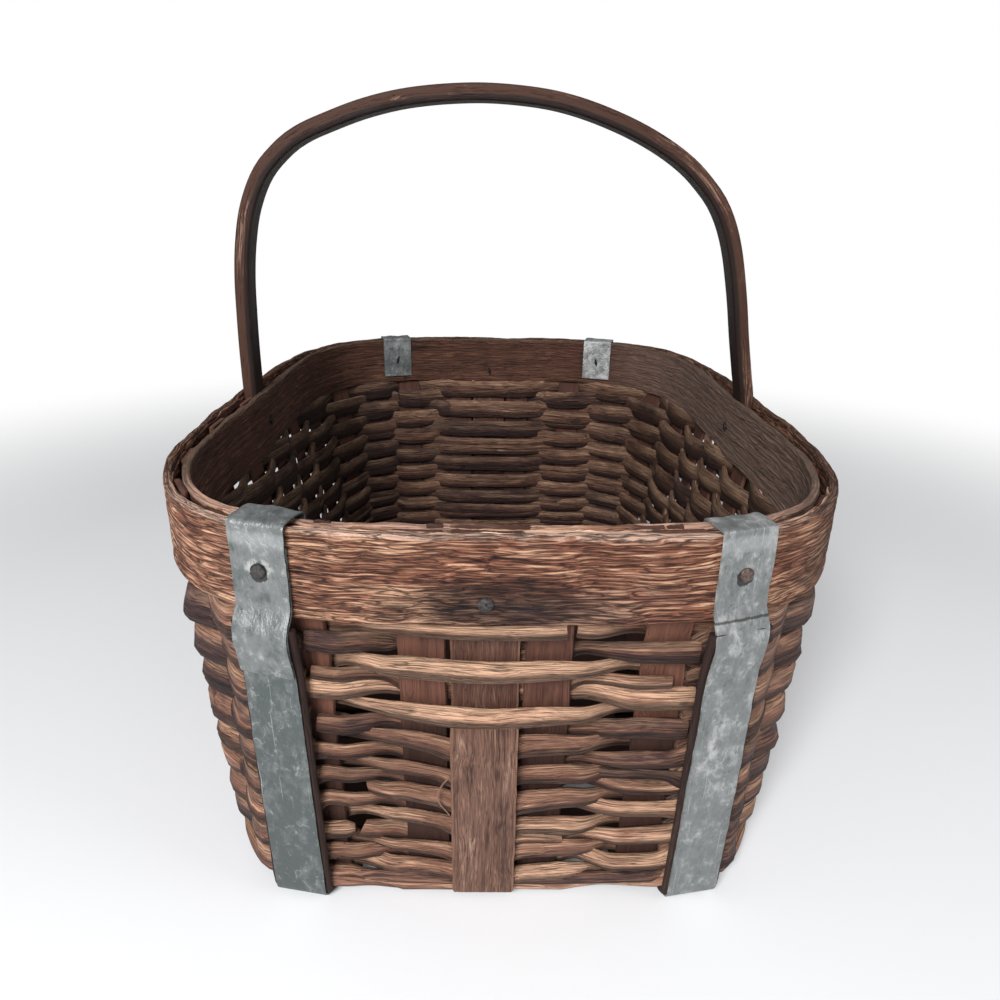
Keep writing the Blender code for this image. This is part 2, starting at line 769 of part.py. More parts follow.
def build():
    clear_scene()
    hoop_wood = make_material("hoop_wood", (0.25, 0.12, 0.07), 0.75)
    handle_wood = make_material("handle_wood", (0.14, 0.07, 0.045), 0.6)
    stake_wood = make_material("stake_wood", (0.20, 0.11, 0.075), 0.8)
    willow = make_material("willow", (0.30, 0.18, 0.10), 0.7)
    runner_wood = make_material("runner_wood", (0.21, 0.12, 0.085), 0.75)
    galvanised = make_material("galvanised_steel", (0.36, 0.40, 0.42), 0.5, 0.8)
    iron = make_material("nail_iron", (0.10, 0.085, 0.08), 0.6, 0.6)

    make_stakes(stake_wood)
    foot_rod(willow)
    for row in range(ROW_COUNT):
        weaver_row(row, willow)
    centre_runner = make_centre_runner(runner_wood)
    outer_runner("left_runner", -STRAP_X, runner_wood)
    outer_runner("right_runner", STRAP_X, runner_wood)
    outer_hoop, inner_hoop = make_hoops(hoop_wood)
    handle = make_handle(handle_wood)
    straps = (left_strap(galvanised), left_strap_hook(galvanised), right_strap(galvanised))

    places = nail_places()
    for name, seat, outward, length in places:
        nail(name, seat, outward, length, iron)
    cutter = nail_hole_cutter(places)
    for piece in (outer_hoop, inner_hoop, handle, centre_runner, *straps):
        drill(piece, cutter)


build()
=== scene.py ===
"""The gathering basket as photographed: weathered splint and willow, two bent hoops, a fixed bow
handle, wooden runners and two galvanised straps. Metres, +Z up, the front end faces -Y."""

import math
import random

import bmesh
import bpy
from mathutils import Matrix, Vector
from mathutils.geometry import interpolate_bezier


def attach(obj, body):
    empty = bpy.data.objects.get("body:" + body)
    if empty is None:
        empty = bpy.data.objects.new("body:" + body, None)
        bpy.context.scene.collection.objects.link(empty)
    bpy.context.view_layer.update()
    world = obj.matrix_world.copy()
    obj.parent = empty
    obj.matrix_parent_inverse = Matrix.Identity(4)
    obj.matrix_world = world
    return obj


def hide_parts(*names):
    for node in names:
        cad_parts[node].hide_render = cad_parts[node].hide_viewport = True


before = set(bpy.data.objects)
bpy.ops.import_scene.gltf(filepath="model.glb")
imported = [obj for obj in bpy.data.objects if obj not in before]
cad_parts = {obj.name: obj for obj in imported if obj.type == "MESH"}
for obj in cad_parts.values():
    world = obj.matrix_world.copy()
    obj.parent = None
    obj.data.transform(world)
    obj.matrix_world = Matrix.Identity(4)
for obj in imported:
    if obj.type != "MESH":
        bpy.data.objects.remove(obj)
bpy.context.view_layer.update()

# Stakes
# Flat splints split from a log, the ribs of the basket. Each runs down one wall, under the base
# and up the opposite wall. The tops stand between the hoops, broken off at uneven heights.

UP = Vector((0, 0, 1))
CLEARANCE = 0.0003
RIM_HALF_WIDTH, RIM_HALF_LENGTH, RIM_SQUARENESS = 0.172, 0.230, 3.7
RIM_FLARE = 1.04
BASE_HALF_WIDTH, BASE_HALF_LENGTH, BASE_SQUARENESS = 0.785 * 0.172, 0.913 * 0.230, 7.0
RIM_HEIGHT, HOOP_BOTTOM, SHOULDER_Z = 0.200, 0.160, 0.146
SHOULDER_INSET, WALL_BULGE, BASE_FLAT_INSET = 0.003, 0.85, 0.035
HOOP_THICKNESS, END_GAP, HANDLE_GAP = 0.004, 0.0039, 0.0096
HOOP_GAP_REACH = 0.826 * RIM_HALF_LENGTH
STAKE_WIDTH, STAKE_THICKNESS, STAKE_BEND = 0.018, 0.0025, 0.0055
SPLINT_WIDTH = 0.0205
LENGTHWISE_LEVEL, CROSSWISE_LEVEL = 0.00635, 0.00915
MIDDLE_X = -0.007
LENGTHWISE_X = (-0.111, -0.0819, -0.033, 0.019, 0.0679, 0.111)
CROSSWISE_Y = [0.04998 * (i - 3.5) for i in range(8)]


def oblong_frame(face, along, half_width, half_length, squareness):
    """A point of a rounded oblong and its outward direction, at x = along on the front or back
    and at y = along on the left or right."""
    on_end = face in ("front", "back")
    reach, depth = (half_width, half_length) if on_end else (half_length, half_width)
    across = depth * (1 - abs(along / reach) ** squareness) ** (1 / squareness)
    if face in ("front", "left"):
        across = -across
    point = Vector((along, across, 0)) if on_end else Vector((across, along, 0))
    return point, oblong_normal(point, half_width, half_length, squareness)


def oblong_normal(point, half_width, half_length, squareness):
    slopes = [
        math.copysign(abs(place / reach) ** (squareness - 1) / reach, place)
        for place, reach in ((point.x, half_width), (point.y, half_length))
    ]
    return Vector((*slopes, 0)).normalized()


def rim_frame(face, along):
    return oblong_frame(face, along, RIM_HALF_WIDTH, RIM_HALF_LENGTH, RIM_SQUARENESS)


def hoop_gap(y):
    """The space between the hoops, wider at the sides for the handle."""
    if abs(y) >= HOOP_GAP_REACH:
        return END_GAP
    return END_GAP + (HANDLE_GAP - END_GAP) * math.cos(math.pi / 2 * y / HOOP_GAP_REACH) ** 2


def hoop_seat(face, along, thickness):
    """Where a strip of this thickness stands against the inner hoop."""

    def seat(place):
        outside, outward = rim_frame(face, place)
        depth = HOOP_THICKNESS + hoop_gap(outside.y) - CLEARANCE - thickness / 2
        return outside - outward * depth, outward

    nudge = STAKE_WIDTH / 8
    point, facing = seat(along)
    outward = (seat(along + nudge)[0] - seat(along - nudge)[0]).cross(UP).normalized()
    if outward.dot(facing) < 0:
        outward.negate()
    return point, outward


def wall_frame(face, along, z, offset=0.0, thickness=STAKE_THICKNESS, lean=0.0):
    """A point offset outward from the stakes' middle surface, with the directions along the
    wall and outward; a piece that bears on the leaning wall lean above z is set by that height."""
    bearing = z + lean
    low, low_normal = oblong_frame(face, along, BASE_HALF_WIDTH, BASE_HALF_LENGTH, BASE_SQUARENESS)
    high, high_normal = hoop_seat(face, along * RIM_FLARE, thickness)
    shoulder = high - high_normal * SHOULDER_INSET
    rise = min(max((bearing - STAKE_BEND) / (SHOULDER_Z - STAKE_BEND), 0.0), 1.0)
    step = min(max((bearing - SHOULDER_Z) / (HOOP_BOTTOM - SHOULDER_Z), 0.0), 1.0)
    point = low.lerp(shoulder, rise**WALL_BULGE).lerp(high, step)
    outward = low_normal.lerp(high_normal, rise).normalized()
    point = point + outward * offset
    point.z = z
    return point, UP.cross(outward), outward


def foot(face, along, level, radius, offset, **place):
    """From the bottom of a wall round to the flat of the base, as (point, outward) stations."""
    start, _, outward = wall_frame(face, along, level + radius, offset=offset, **place)
    hub = start - outward * radius
    stations = []
    for i in range(7):
        turn = math.pi / 2 * i / 6
        facing = outward * math.cos(turn) - UP * math.sin(turn)
        stations.append((hub + facing * radius, facing))
    on_end = face in ("front", "back")
    inner = (BASE_HALF_LENGTH if on_end else BASE_HALF_WIDTH) + offset - BASE_FLAT_INSET
    if face in ("front", "left"):
        inner = -inner
    flat = (along, inner, level) if on_end else (inner, along, level)
    return [*stations, (Vector(flat), -UP)]


def down_wall(face, along, heights, level, radius, offset=0.0, **place):
    stations = []
    for z in heights:
        point, _, outward = wall_frame(face, along, z, offset=offset, **place)
        stations.append((point, outward))
    return stations + foot(face, along, level, radius, offset, **place)


def between(before, here, there, after, step):
    """Points of a fair curve from here to there, with the share of the way to each."""
    span = (there - here).length
    lead = (there - before).normalized() * span / 3
    trail = (after - here).normalized() * span / 3
    count = max(int(span / step), 1)
    points = interpolate_bezier(here, here + lead, there - trail, there, count + 1)
    return [(points[i], i / count) for i in range(count)]


def smoothed(stations, step=0.004):
    """Rounds a run of (point, outward) stations off into one fair line."""
    run = []
    last = len(stations) - 1
    for i in range(last):
        (here, facing), (there, turned) = stations[i], stations[i + 1]
        before, after = stations[max(i - 1, 0)][0], stations[min(i + 2, last)][0]
        for point, share in between(before, here, there, after, step):
            run.append((point, facing.lerp(turned, share).normalized()))
    return [*run, stations[-1]]


def titled(values):
    """Python names as the words on a node's inputs."""
    return {key.replace("_", " ").title(): value for key, value in values.items()}


class Graph:
    """A node tree that is written as expressions; node() makes any node."""

    def __init__(self, tree):
        self.tree = tree

    def feed(self, socket, value):
        if isinstance(value, Value):
            self.tree.links.new(value.socket, socket)
        else:
            socket.default_value = value

    def node(self, kind, settings, values, output=0):
        made = self.tree.nodes.new(kind)
        for key, setting in settings.items():
            setattr(made, key, setting)
        for key, value in values.items():
            self.feed(made.inputs[key], value)
        return Value(self, made.outputs[output]) if made.outputs else None

    def geometry(self, kind, mode=None, **values):
        settings = {"mode": mode} if mode else {}
        return self.node("GeometryNode" + kind, settings, titled(values))

    def stored(self, name, kind="FLOAT"):
        return self.node("GeometryNodeInputNamedAttribute", {"data_type": kind}, {"Name": name})

    def keep(self, geometry, name, value):
        """Stores a vector on a geometry."""
        values = {"Geometry": geometry, "Name": name, "Value": value}
        return self.node("GeometryNodeStoreNamedAttribute", {"data_type": "FLOAT_VECTOR"}, values)

    def vector(self, operation, first, second, output=0):
        settings = {"operation": operation}
        return self.node("ShaderNodeVectorMath", settings, {0: first, 1: second}, output)

    def combine(self, x, y, z):
        return self.node("ShaderNodeCombineXYZ", {}, {"X": x, "Y": y, "Z": z})

    def scaled(self, vector, size):
        return self.vector("MULTIPLY", vector, self.combine(size, size, size))

    def parts(self, vector):
        """The x, y and z of a vector."""
        split = self.node("ShaderNodeSeparateXYZ", {}, {"Vector": vector})
        return split.out("X"), split.out("Y"), split.out("Z")

    def shifted(self, place, seed):
        """A place moved on by its piece's seed, so that no two pieces are alike."""
        return self.vector("ADD", place, self.combine(seed, seed * 1.7, seed * 2.3))

    def noise(self, place, stretch, detail=2.0, roughness=0.5):
        """Noise from 0 to 1 at a place in metres; stretch is its spots for each metre."""
        values = {"Vector": self.vector("MULTIPLY", place, stretch)}
        values |= {"Scale": 1.0, "Detail": detail, "Roughness": roughness}
        return self.node("ShaderNodeTexNoise", {}, values)


def worked(operation, swapped=False):
    """The method of Value that does one kind of sum."""

    def work(value, other):
        first, second = (other, value) if swapped else (value, other)
        return value.graph.node("ShaderNodeMath", {"operation": operation}, {0: first, 1: second})

    return work


class Value:
    """One output of a node, for use in sums."""

    def __init__(self, graph, socket):
        self.graph = graph
        self.socket = socket

    __add__ = __radd__ = worked("ADD")
    __sub__, __rsub__ = worked("SUBTRACT"), worked("SUBTRACT", swapped=True)
    __mul__ = __rmul__ = worked("MULTIPLY")
    __truediv__, __pow__ = worked("DIVIDE"), worked("POWER")
    at_most, at_least = worked("MINIMUM"), worked("MAXIMUM")

    def out(self, name):
        return Value(self.graph, self.socket.node.outputs[name])

    def size(self):
        return self.graph.node("ShaderNodeMath", {"operation": "ABSOLUTE"}, {0: self})

    def step(self, low, high):
        """0 below low, 1 above high and smooth between."""
        values = {"Value": self, "From Min": low, "From Max": high}
        return self.graph.node("ShaderNodeMapRange", {"interpolation_type": "SMOOTHSTEP"}, values)


def new_tree(name, source, sizes, counts=()):
    """A tree that makes a piece from source geometry, sizes, counts and a material."""
    tree = bpy.data.node_groups.new(name, "GeometryNodeTree")
    sockets = [(source, "Geometry"), ("Material", "Material")]
    sockets += [(size, "Float") for size in sizes] + [(count, "Int") for count in counts]
    for label, kind in sockets:
        tree.interface.new_socket(label, in_out="INPUT", socket_type="NodeSocket" + kind)
    tree.interface.new_socket("Piece", in_out="OUTPUT", socket_type="NodeSocketGeometry")
    graph = Graph(tree)
    return graph, graph.node("NodeGroupInput", {}, {})


def end_tree(graph, given, mesh):
    mesh = graph.geometry("RealizeInstances", geometry=mesh)
    mesh = graph.geometry("SetMaterial", geometry=mesh, material=given.out("Material"))
    graph.node("NodeGroupOutput", {}, {"Piece": mesh})
    return graph.tree


STRIP_SIZES = {
    "width": SPLINT_WIDTH, "thickness": STAKE_THICKNESS, "corner_radius": 0.0008,
    "furrow_depth": 0.0003, "furrows_per_metre": 500.0, "dent_depth": 0.0,
    "dents_per_metre": 60.0, "edge_wear": 0.0, "edge_wear_per_metre": 120.0,
}


def sweep_tree():
    """Sweeps a rounded rectangle along lines, then furrows it along the grain, dents it above
    the base and wears its edges. Each point stores its place: depth, breadth, length."""
    graph, given = new_tree("Swept strip", "Lines", titled(STRIP_SIZES), ["Points Around"])
    width = given.out("Width")
    profile = graph.geometry("CurvePrimitiveQuadrilateral", "RECTANGLE",
                             width=given.out("Thickness"), height=width)
    profile = graph.geometry("FilletCurve", "POLY", curve=profile, limit_radius=True, count=4,
                             radius=given.out("Corner Radius"))
    around = given.out("Points Around")
    profile = graph.geometry("ResampleCurve", "COUNT", curve=profile, count=around)
    position = graph.geometry("InputPosition")
    profile = graph.keep(profile, "face", position)
    outward = graph.stored("outward", "FLOAT_VECTOR")
    curve = graph.geometry("MeshToCurve", mesh=given.out("Lines"))
    curve = graph.geometry("SetCurveNormal", "FREE", curve=curve, normal=outward)
    mesh = graph.geometry("CurveToMesh", curve=curve, profile_curve=profile,
                          scale=graph.stored("size"), fill_caps=True)
    depth, breadth, _ = graph.parts(graph.stored("face", "FLOAT_VECTOR"))
    reach, seed = graph.stored("reach"), graph.stored("seed")
    place = graph.combine(depth, breadth, reach)
    mesh = graph.keep(mesh, "grain", place)

    close = given.out("Furrows Per Metre")
    stretch = graph.combine(close, close, close / 30)
    furrow = graph.noise(graph.shifted(place, seed), stretch, 3.0) - 0.5
    wide = given.out("Dents Per Metre")
    flat = graph.shifted(graph.combine(0.0, breadth, reach), seed)
    above_base = graph.parts(position)[2].step(0.0, 0.02)
    dent = (graph.noise(flat, graph.combine(wide, wide, wide)) - 0.5) * above_base
    side = breadth / width
    rim_place = graph.shifted(graph.combine(side * 0.02, 0.0, reach), seed)
    stretch = graph.combine(60.0, 60.0, given.out("Edge Wear Per Metre"))
    wear = (graph.noise(rim_place, stretch, 4.0, 0.6) - 0.5) * side.size().step(0.42, 0.5)

    furrowed = graph.scaled(graph.geometry("InputNormal"), furrow * given.out("Furrow Depth"))
    dented = graph.scaled(outward, dent * given.out("Dent Depth"))
    across = graph.stored("across", "FLOAT_VECTOR")
    worn = graph.scaled(across, wear * given.out("Edge Wear") * 2)
    moved = graph.vector("ADD", graph.vector("ADD", furrowed, dented), worn)
    mesh = graph.geometry("SetPosition", geometry=mesh, offset=moved)
    return end_tree(graph, given, mesh)


SWEEP = sweep_tree()


def line_mesh(name, lines):
    """Edges along every line, with what the sweep reads at each point. A line is (stations,
    sizes, tint, seed, closed)."""
    points, edges, facts = [], [], []
    for stations, sizes, tint, seed, closed in lines:
        first = len(points)
        reach = 0.0
        for i, (point, outward) in enumerate(stations):
            before = stations[max(i - 1, 0)][0]
            after = stations[min(i + 1, len(stations) - 1)][0]
            reach += (point - before).length
            across = (after - before).normalized().cross(outward).normalized()
            points.append(point)
            facts.append((outward, across, sizes[i], tint, seed, reach))
            if i:
                edges.append((first + i - 1, first + i))
        if closed:
            edges.append((len(points) - 1, first))
    mesh = bpy.data.meshes.new(name)
    mesh.from_pydata(points, edges, [])
    for column, label in enumerate(("outward", "across", "size", "tint", "seed", "reach")):
        kind, field = ("FLOAT_VECTOR", "vector") if column < 2 else ("FLOAT", "value")
        layer = mesh.attributes.new(label, kind, "POINT")
        for slot, fact in zip(layer.data, facts):
            setattr(slot, field, fact[column])
    return mesh


def made_by_nodes(name, mesh, tree, values, nodes):
    """Runs a tree on a mesh and keeps the result as a plain piece in place of CAD nodes."""
    source = bpy.data.objects.new(name + " source", mesh)
    bpy.context.scene.collection.objects.link(source)
    modifier = source.modifiers.new("made", "NODES")
    modifier.node_group = tree
    for item in tree.interface.items_tree:
        if item.in_out == "INPUT" and item.name in values:
            modifier[item.identifier] = values[item.name]
    result = source.evaluated_get(bpy.context.evaluated_depsgraph_get())
    made = bpy.data.meshes.new_from_object(result)
    bpy.data.objects.remove(source, do_unlink=True)
    made.name = name
    shape = bmesh.new()
    shape.from_mesh(made)
    bmesh.ops.recalc_face_normals(shape, faces=shape.faces)
    shape.to_mesh(made)
    shape.free()
    made.shade_smooth()
    made.set_sharp_from_angle(angle=math.radians(50))
    piece = bpy.data.objects.new(name.replace(" ", "-"), made)
    bpy.context.scene.collection.objects.link(piece)
    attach(piece, "root")
    if nodes:
        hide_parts(*nodes)


def swept(name, lines, material, nodes, slot, points_around=24, **sizes):
    values = {**STRIP_SIZES, **sizes, "points_around": points_around, "material": material}
    made_by_nodes(name, line_mesh(name, lines), SWEEP, titled(values), nodes)


def srgb(red, green, blue):
    """A colour seen on a screen, from 0 to 255, as the light that it stands for."""
    return (*((c / 255) ** 2.2 for c in (red, green, blue)), 1.0)


class Surface(Graph):
    """A material under construction."""

    def __init__(self, name):
        self.material = bpy.data.materials.new(name)
        self.material.use_nodes = True
        super().__init__(self.material.node_tree)
        self.shader = self.tree.nodes["Principled BSDF"]

    def attribute(self, name, output="Vector"):
        return self.node("ShaderNodeAttribute", {"attribute_name": name}, {}, output)

    def spot(self):
        return self.node("ShaderNodeTexCoord", {}, {}, "Object")

    def on_basket(self):
        """The x, y and z of a point on the whole basket."""
        return self.parts(self.spot())

    def in_piece(self):
        """How far outward, across and along its own piece a point is."""
        return self.parts(self.attribute("grain"))

    def own_place(self):
        """The place in the piece for noise."""
        return self.shifted(self.attribute("grain"), self.attribute("seed", "Fac"))

    def mix(self, share, first, second):
        settings = {"data_type": "RGBA"}
        return self.node("ShaderNodeMix", settings, {0: share, 6: first, 7: second}, 2)

    def layered(self, colour, layers):
        """Lays colours over a first one, each as how much of it shows and what it is."""
        for share, over in layers:
            colour = self.mix(share, colour, over if isinstance(over, Value) else srgb(*over))
        return colour

    def bump(self, height, distance):
        values = {"Height": height, "Distance": distance, "Strength": 1.0}
        return self.node("ShaderNodeBump", {}, values)

    def finished(self, looks):
        for name, value in looks.items():
            self.feed(self.shader.inputs[name], value)
        return self.material


def wood(name, dark, middle, light, fibre=1400.0, relief=0.0004, contrast=1.0, rough=0.62,
         cracks=0.6, broken=40.0, grooves=0.0, finish=None):
    """Weathered wood: long fibres, broad stains, pale worn ridges, thin dark cracks and a net of
    wavy grooves. tint moves it from dark to light for each piece; finish gives more layers."""
    surface = Surface(name)
    place = surface.own_place()
    tint = surface.attribute("tint", "Fac")
    drift = (surface.noise(place, (40.0, 40.0, 40.0), 1.0) - 0.5) * 0.004
    wavy = surface.vector("ADD", place, surface.combine(drift, drift, drift))
    fine = surface.noise(wavy, (fibre, fibre, fibre / broken), 5.0, 0.7)
    streak = surface.noise(wavy, (fibre / 4, fibre / 4, fibre / 90))
    stain = surface.noise(place, (45.0, 45.0, 22.0), 4.0, 0.65)
    line = surface.noise(wavy, (fibre / 2.4, fibre / 2.4, fibre / 90), 1.0) - 0.5
    crack = (1.0 - line.size().step(0.0, 0.03)) * stain.step(0.4, 0.62)
    net = surface.noise(wavy, (fibre * 0.6, fibre * 0.6, fibre / 20), 1.5) - 0.5
    groove = (1.0 - net.size().step(0.0, 0.055)) * grooves
    ridge = (net.size().step(0.07, 0.18) - 0.4) * grooves
    crevice = (1.0 - fine.step(0.30, 0.42)) * 0.75
    crack = (crack + crevice * contrast + groove).at_most(1.0) * cracks
    swing = (fine - 0.5) * 1.5 + (streak - 0.5) * 1.3
    tone = tint + swing * contrast + (stain - 0.5) * 1.3 + ridge * 0.45
    layers = [(tone.step(0.0, 0.5), middle), (tone.step(0.45, 1.05), light)]
    if finish:
        layers += finish(surface, fine, stain)
    layers.append((crack, [shade * 0.4 for shade in dark]))
    height = fine * 0.8 + streak * 0.7 + ridge - crack
    return surface.finished({
        "Base Color": surface.layered(srgb(*dark), layers), "Roughness": fine * 0.3 + rough,
        "Specular IOR Level": 0.3, "Normal": surface.bump(height, relief),
    })


def stake_shade_and_dirt(surface, _, stain):
    """Painted shade on inner faces and corner stakes, and on dirty wood low in the weave."""
    inner = (0.0 - surface.in_piece()[0]).step(0.0, 0.0008)
    x, _, z = surface.on_basket()
    buried = 1.0 - (z + (stain - 0.5) * 0.02).step(0.098, 0.112)
    corner = x.size().step(0.100, 0.104) * (1.0 - x.size().step(0.122, 0.126))
    # Painted shade on the inner faces and the corner stakes, and on dirty wood low in the weave.
    shade_and_dirt = (inner * 0.5).at_least(buried * 0.75).at_least(corner * 0.8)
    return [(shade_and_dirt, (40, 27, 24))]


def even(stations):
    return [1.0] * len(stations)


def make_stakes():
    pick = random.Random(4)
    material = wood("stake splint", (58, 37, 32), (98, 65, 53), (134, 96, 78),
                    contrast=0.4, cracks=0.5, finish=stake_shade_and_dirt)
    heights = (0.180, HOOP_BOTTOM, SHOULDER_Z, 0.125, 0.095, 0.060, 0.030)
    runs = [("lengthwise", ("front", "back"), i, x) for i, x in enumerate(LENGTHWISE_X, 1)]
    runs += [("crosswise", ("left", "right"), i, y) for i, y in enumerate(CROSSWISE_Y, 1)]
    for label, ends, number, along in runs:
        level = LENGTHWISE_LEVEL if label == "lengthwise" else CROSSWISE_LEVEL
        halves = []
        for face in ends:
            broken = pick.uniform(-0.005, 0.0)
            tops = (RIM_HEIGHT + broken, *heights)
            halves.append(down_wall(face, along, tops, level, STAKE_BEND))
        run = smoothed(halves[0] + halves[1][::-1])
        line = (run, even(run), pick.uniform(0.2, 0.55), pick.random(), False)
        name = f"{label} stake {number}"
        swept(name, [line], material, [f"{label}_stake_{number}"], "stake_splint",
              edge_wear=0.0012, points_around=28)


make_stakes()

# Willow rods
# Rows of willow rods, some with bark and some peeled, woven outside one stake and inside the
# next. A row is several rods; each new rod starts tucked in where the last one ends.

ROW_COUNT, LOWEST_ROW_Z, WEAVE_HEIGHT = 17, 0.0152, 0.138
UNITS = 26
ROD_DEPTH, ROD_REACH, ROD_SWAY = 0.0055, 0.006, 0.0041
ROD_SHARE, LEAN_SHARE = 0.88, 0.6
FOOT_ROW, FOOT_ROD_Z, FOOT_ROD_BREADTH = -1, 0.0084, 0.0072
FRONT_FULLNESS, FRONT_BULGE, LOWEST_FRONT = 1.12, 1.12, 0.0026
CROSSING_LEFT, CROSSING_RIGHT, CROSSING_RUN = -0.070, 0.057, 0.024
BEHIND_LEFT_STRAP, BEHIND_RIGHT_STRAP = 0.093, 0.088
TUCK_REACH, TUCK_DROP, TUCK_LOWEST = 0.007, 0.0045, 0.004
SUNLIT_ROWS, SUNLIT = 6, 0.12
END_SHAPES = {"r": (0.55, 0.85), "c": (0.92,)}
# The rods between the straps: row, how light, how the left and right ends look (cut, rounded,
# tucked or on), then places in mm: from the middle, height, breadth
FRONT_RODS = (
    (16, 0.85, "tc", ((-59, 156.2, 2.1), (-44, 157.5, 4.5), (-31, 156.0, 4.9), (-18, 155.2, 5.1),
        (1, 155.4, 5.3), (12, 156.1, 5.5), (25, 156.8, 5.7))),
    (16, 0.75, "cc", ((29, 156.8, 4.9), (44, 155.2, 5.2), (60, 152.1, 4.7))),
    (15, 0.28, "cr", ((-80, 148.0, 7.9), (-59, 146.5, 8.4), (-49, 143.2, 7.7), (-43, 143.0, 6.4))),
    (15, 0.28, "tc", ((30, 141.7, 3.0), (40, 141.5, 5.5), (53, 144.7, 7.9), (81, 142.8, 8.5))),
    (14, 1.16, "tt", ((-67, 133.8, 1.7), (-54, 137.4, 6.3), (-39, 136.7, 8.2), (-18, 134.5, 8.0),
        (-1, 134.2, 7.8), (19, 136.0, 7.4), (40, 136.5, 5.3), (60, 131.7, 2.2))),
    (13, 0.62, "ct", ((-79, 131.5, 5.1), (-60, 130.9, 5.3), (-45, 124.7, 1.7))),
    (13, 0.85, "cc", ((-82, 123.0, 8.2), (-61, 123.0, 7.8), (-43, 119.3, 6.2))),
    (13, 0.7, "tc", ((31, 124.6, 2.2), (51, 129.3, 5.1), (71, 128.2, 5.1))),
    (13, 0.88, "cc", ((29, 118.1, 7.1), (49, 120.8, 8.7), (82, 119.3, 9.2))),
    (12, 0.93, "tt", ((-65, 110.9, 1.8), (-50, 115.6, 5.6), (-40, 113.8, 6.9), (-26, 111.1, 8.2),
        (-5, 108.8, 8.3), (21, 111.0, 7.4), (42, 112.2, 5.3), (60, 108.8, 2.2))),
    (11, 0.30, "ct", ((-79, 104.5, 7.0), (-59, 103.2, 7.1), (-41, 97.8, 5.0))),
    (11, 0.28, "tc", ((13, 94.5, 2.7), (37, 98.0, 7.3), (57, 104.5, 7.9), (81, 101.7, 8.5))),
    (10, 0.55, "tn", ((-61, 94.1, 2.3), (-52, 98.6, 4.9), (-43, 98.6, 6.2), (-26, 94.6, 7.5))),
    (10, 0.5, "nt", ((7, 94.4, 8.9), (23, 95.4, 8.0), (39, 95.4, 6.2), (61, 88.7, 3.2))),
    (9, 0.5, "nt", ((-78, 88.6, 5.8), (-59, 87.5, 5.9), (-42, 81.4, 2.8))),
    (9, 0.28, "tn", ((28, 78.9, 2.8), (41, 81.0, 6.0), (55, 86.2, 7.2), (79, 84.7, 7.3))),
    (8, 0.5, "tn", ((-66, 75.7, 1.9), (-53, 81.1, 5.0), (-44, 81.6, 6.3), (-26, 77.8, 5.4))),
    (8, 0.55, "nt", ((7, 76.9, 6.4), (32, 77.8, 7.6), (46, 75.0, 6.2), (56, 72.4, 2.3))),
    (7, 0.35, "nt", ((-79, 76.7, 5.9), (-60, 73.7, 6.0), (-46, 66.1, 2.4))),
    (7, 0.5, "tn", ((31, 68.8, 6.4), (49, 70.6, 6.0), (78, 68.1, 6.0))),
    (7, 0.25, "tn", ((46, 75.4, 1.8), (58, 78.4, 3.6), (78, 75.2, 4.1))),
    (6, 0.62, "cn", ((-61, 63.4, 6.1), (-45, 67.9, 7.3), (-25, 62.9, 7.8))),
    (6, 0.58, "nc", ((8, 60.1, 9.7), (33, 63.7, 8.3), (47, 59.3, 6.9), (63, 55.3, 3.4))),
    (5, 0.55, "nt", ((-80, 61.4, 6.0), (-61, 58.6, 6.1), (-43, 49.8, 1.9))),
    (5, 0.7, "cn", ((31, 52.6, 6.2), (43, 53.0, 6.6), (54, 55.8, 6.3), (78, 54.8, 6.1))),
    (4, 0.58, "tn", ((-69, 45.1, 1.9), (-55, 50.7, 4.3), (-46, 52.3, 5.6), (-25, 47.1, 6.1))),
    (4, 0.55, "nt", ((8, 45.8, 6.6), (34, 45.5, 8.0), (49, 41.3, 5.3), (64, 40.0, 2.4))),
    (4, 0.45, "nc", ((8, 37.1, 4.3), (20, 36.5, 4.5), (30, 35.8, 4.3))),
    (3, 0.45, "nr", ((-80, 39.7, 7.1), (-72, 40.9, 7.6), (-67, 41.2, 7.1))),
    (3, 0.58, "cc", ((-64, 40.8, 7.6), (-55, 35.1, 8.3), (-42, 30.5, 6.9))),
    (3, 0.68, "tn", ((36, 29.4, 3.0), (49, 37.6, 7.2), (78, 37.9, 8.2))),
    (2, 0.5, "tn", ((-68, 26.0, 2.0), (-57, 29.7, 3.9), (-47, 31.7, 4.8), (-24, 28.2, 6.7))),
    (2, 0.52, "nt", ((9, 29.5, 8.7), (35, 30.2, 7.6), (51, 24.0, 6.4), (62, 20.3, 2.0))),
    (1, 0.45, "nt", ((-80, 26.4, 6.3), (-63, 25.6, 6.8), (-43, 15.5, 2.5))),
    (1, 0.6, "tn", ((36, 19.4, 7.2), (50, 20.2, 7.8), (79, 20.1, 7.4))),
    (0, 0.2, "nc", ((-83, 7.9, 4.0), (-74, 7.9, 4.0), (-68, 8.0, 4.0))),
    (0, 0.6, "tn", ((-68, 13.6, 7.8), (-59, 14.8, 7.6), (-47, 18.3, 6.6), (-25, 15.4, 6.4))),
    (0, 0.78, "nt", ((9, 12.0, 7.2), (36, 15.2, 7.6), (52, 6.0, 4.6), (63, 4.8, 2.5))),
    (-1, 0.55, "nt", ((-78, 9.9, 4.9), (-61, 8.6, 5.4), (-48, 4.2, 3.4))),
    (-1, 0.4, "tn", ((-62, 5.4, 2.0), (-49, 3.4, 4.1), (-25, 3.4, 4.6))),
    (-1, 0.65, "tn", ((32, 3.4, 2.0), (51, 7.0, 4.0), (63, 6.4, 4.5), (77, 4.5, 4.5))),
    (-1, 0.5, "nt", ((9, 3.4, 3.1), (27, 3.4, 3.6), (46, 4.0, 2.0))),
)


def row_height(row):
    share = row / (ROW_COUNT - 1)
    return LOWEST_ROW_Z + WEAVE_HEIGHT * (0.846 * share + 0.154 * share * share)


def rod_height(row):
    return ROD_SHARE * (row_height(row + 1) - row_height(row - 1)) / 2


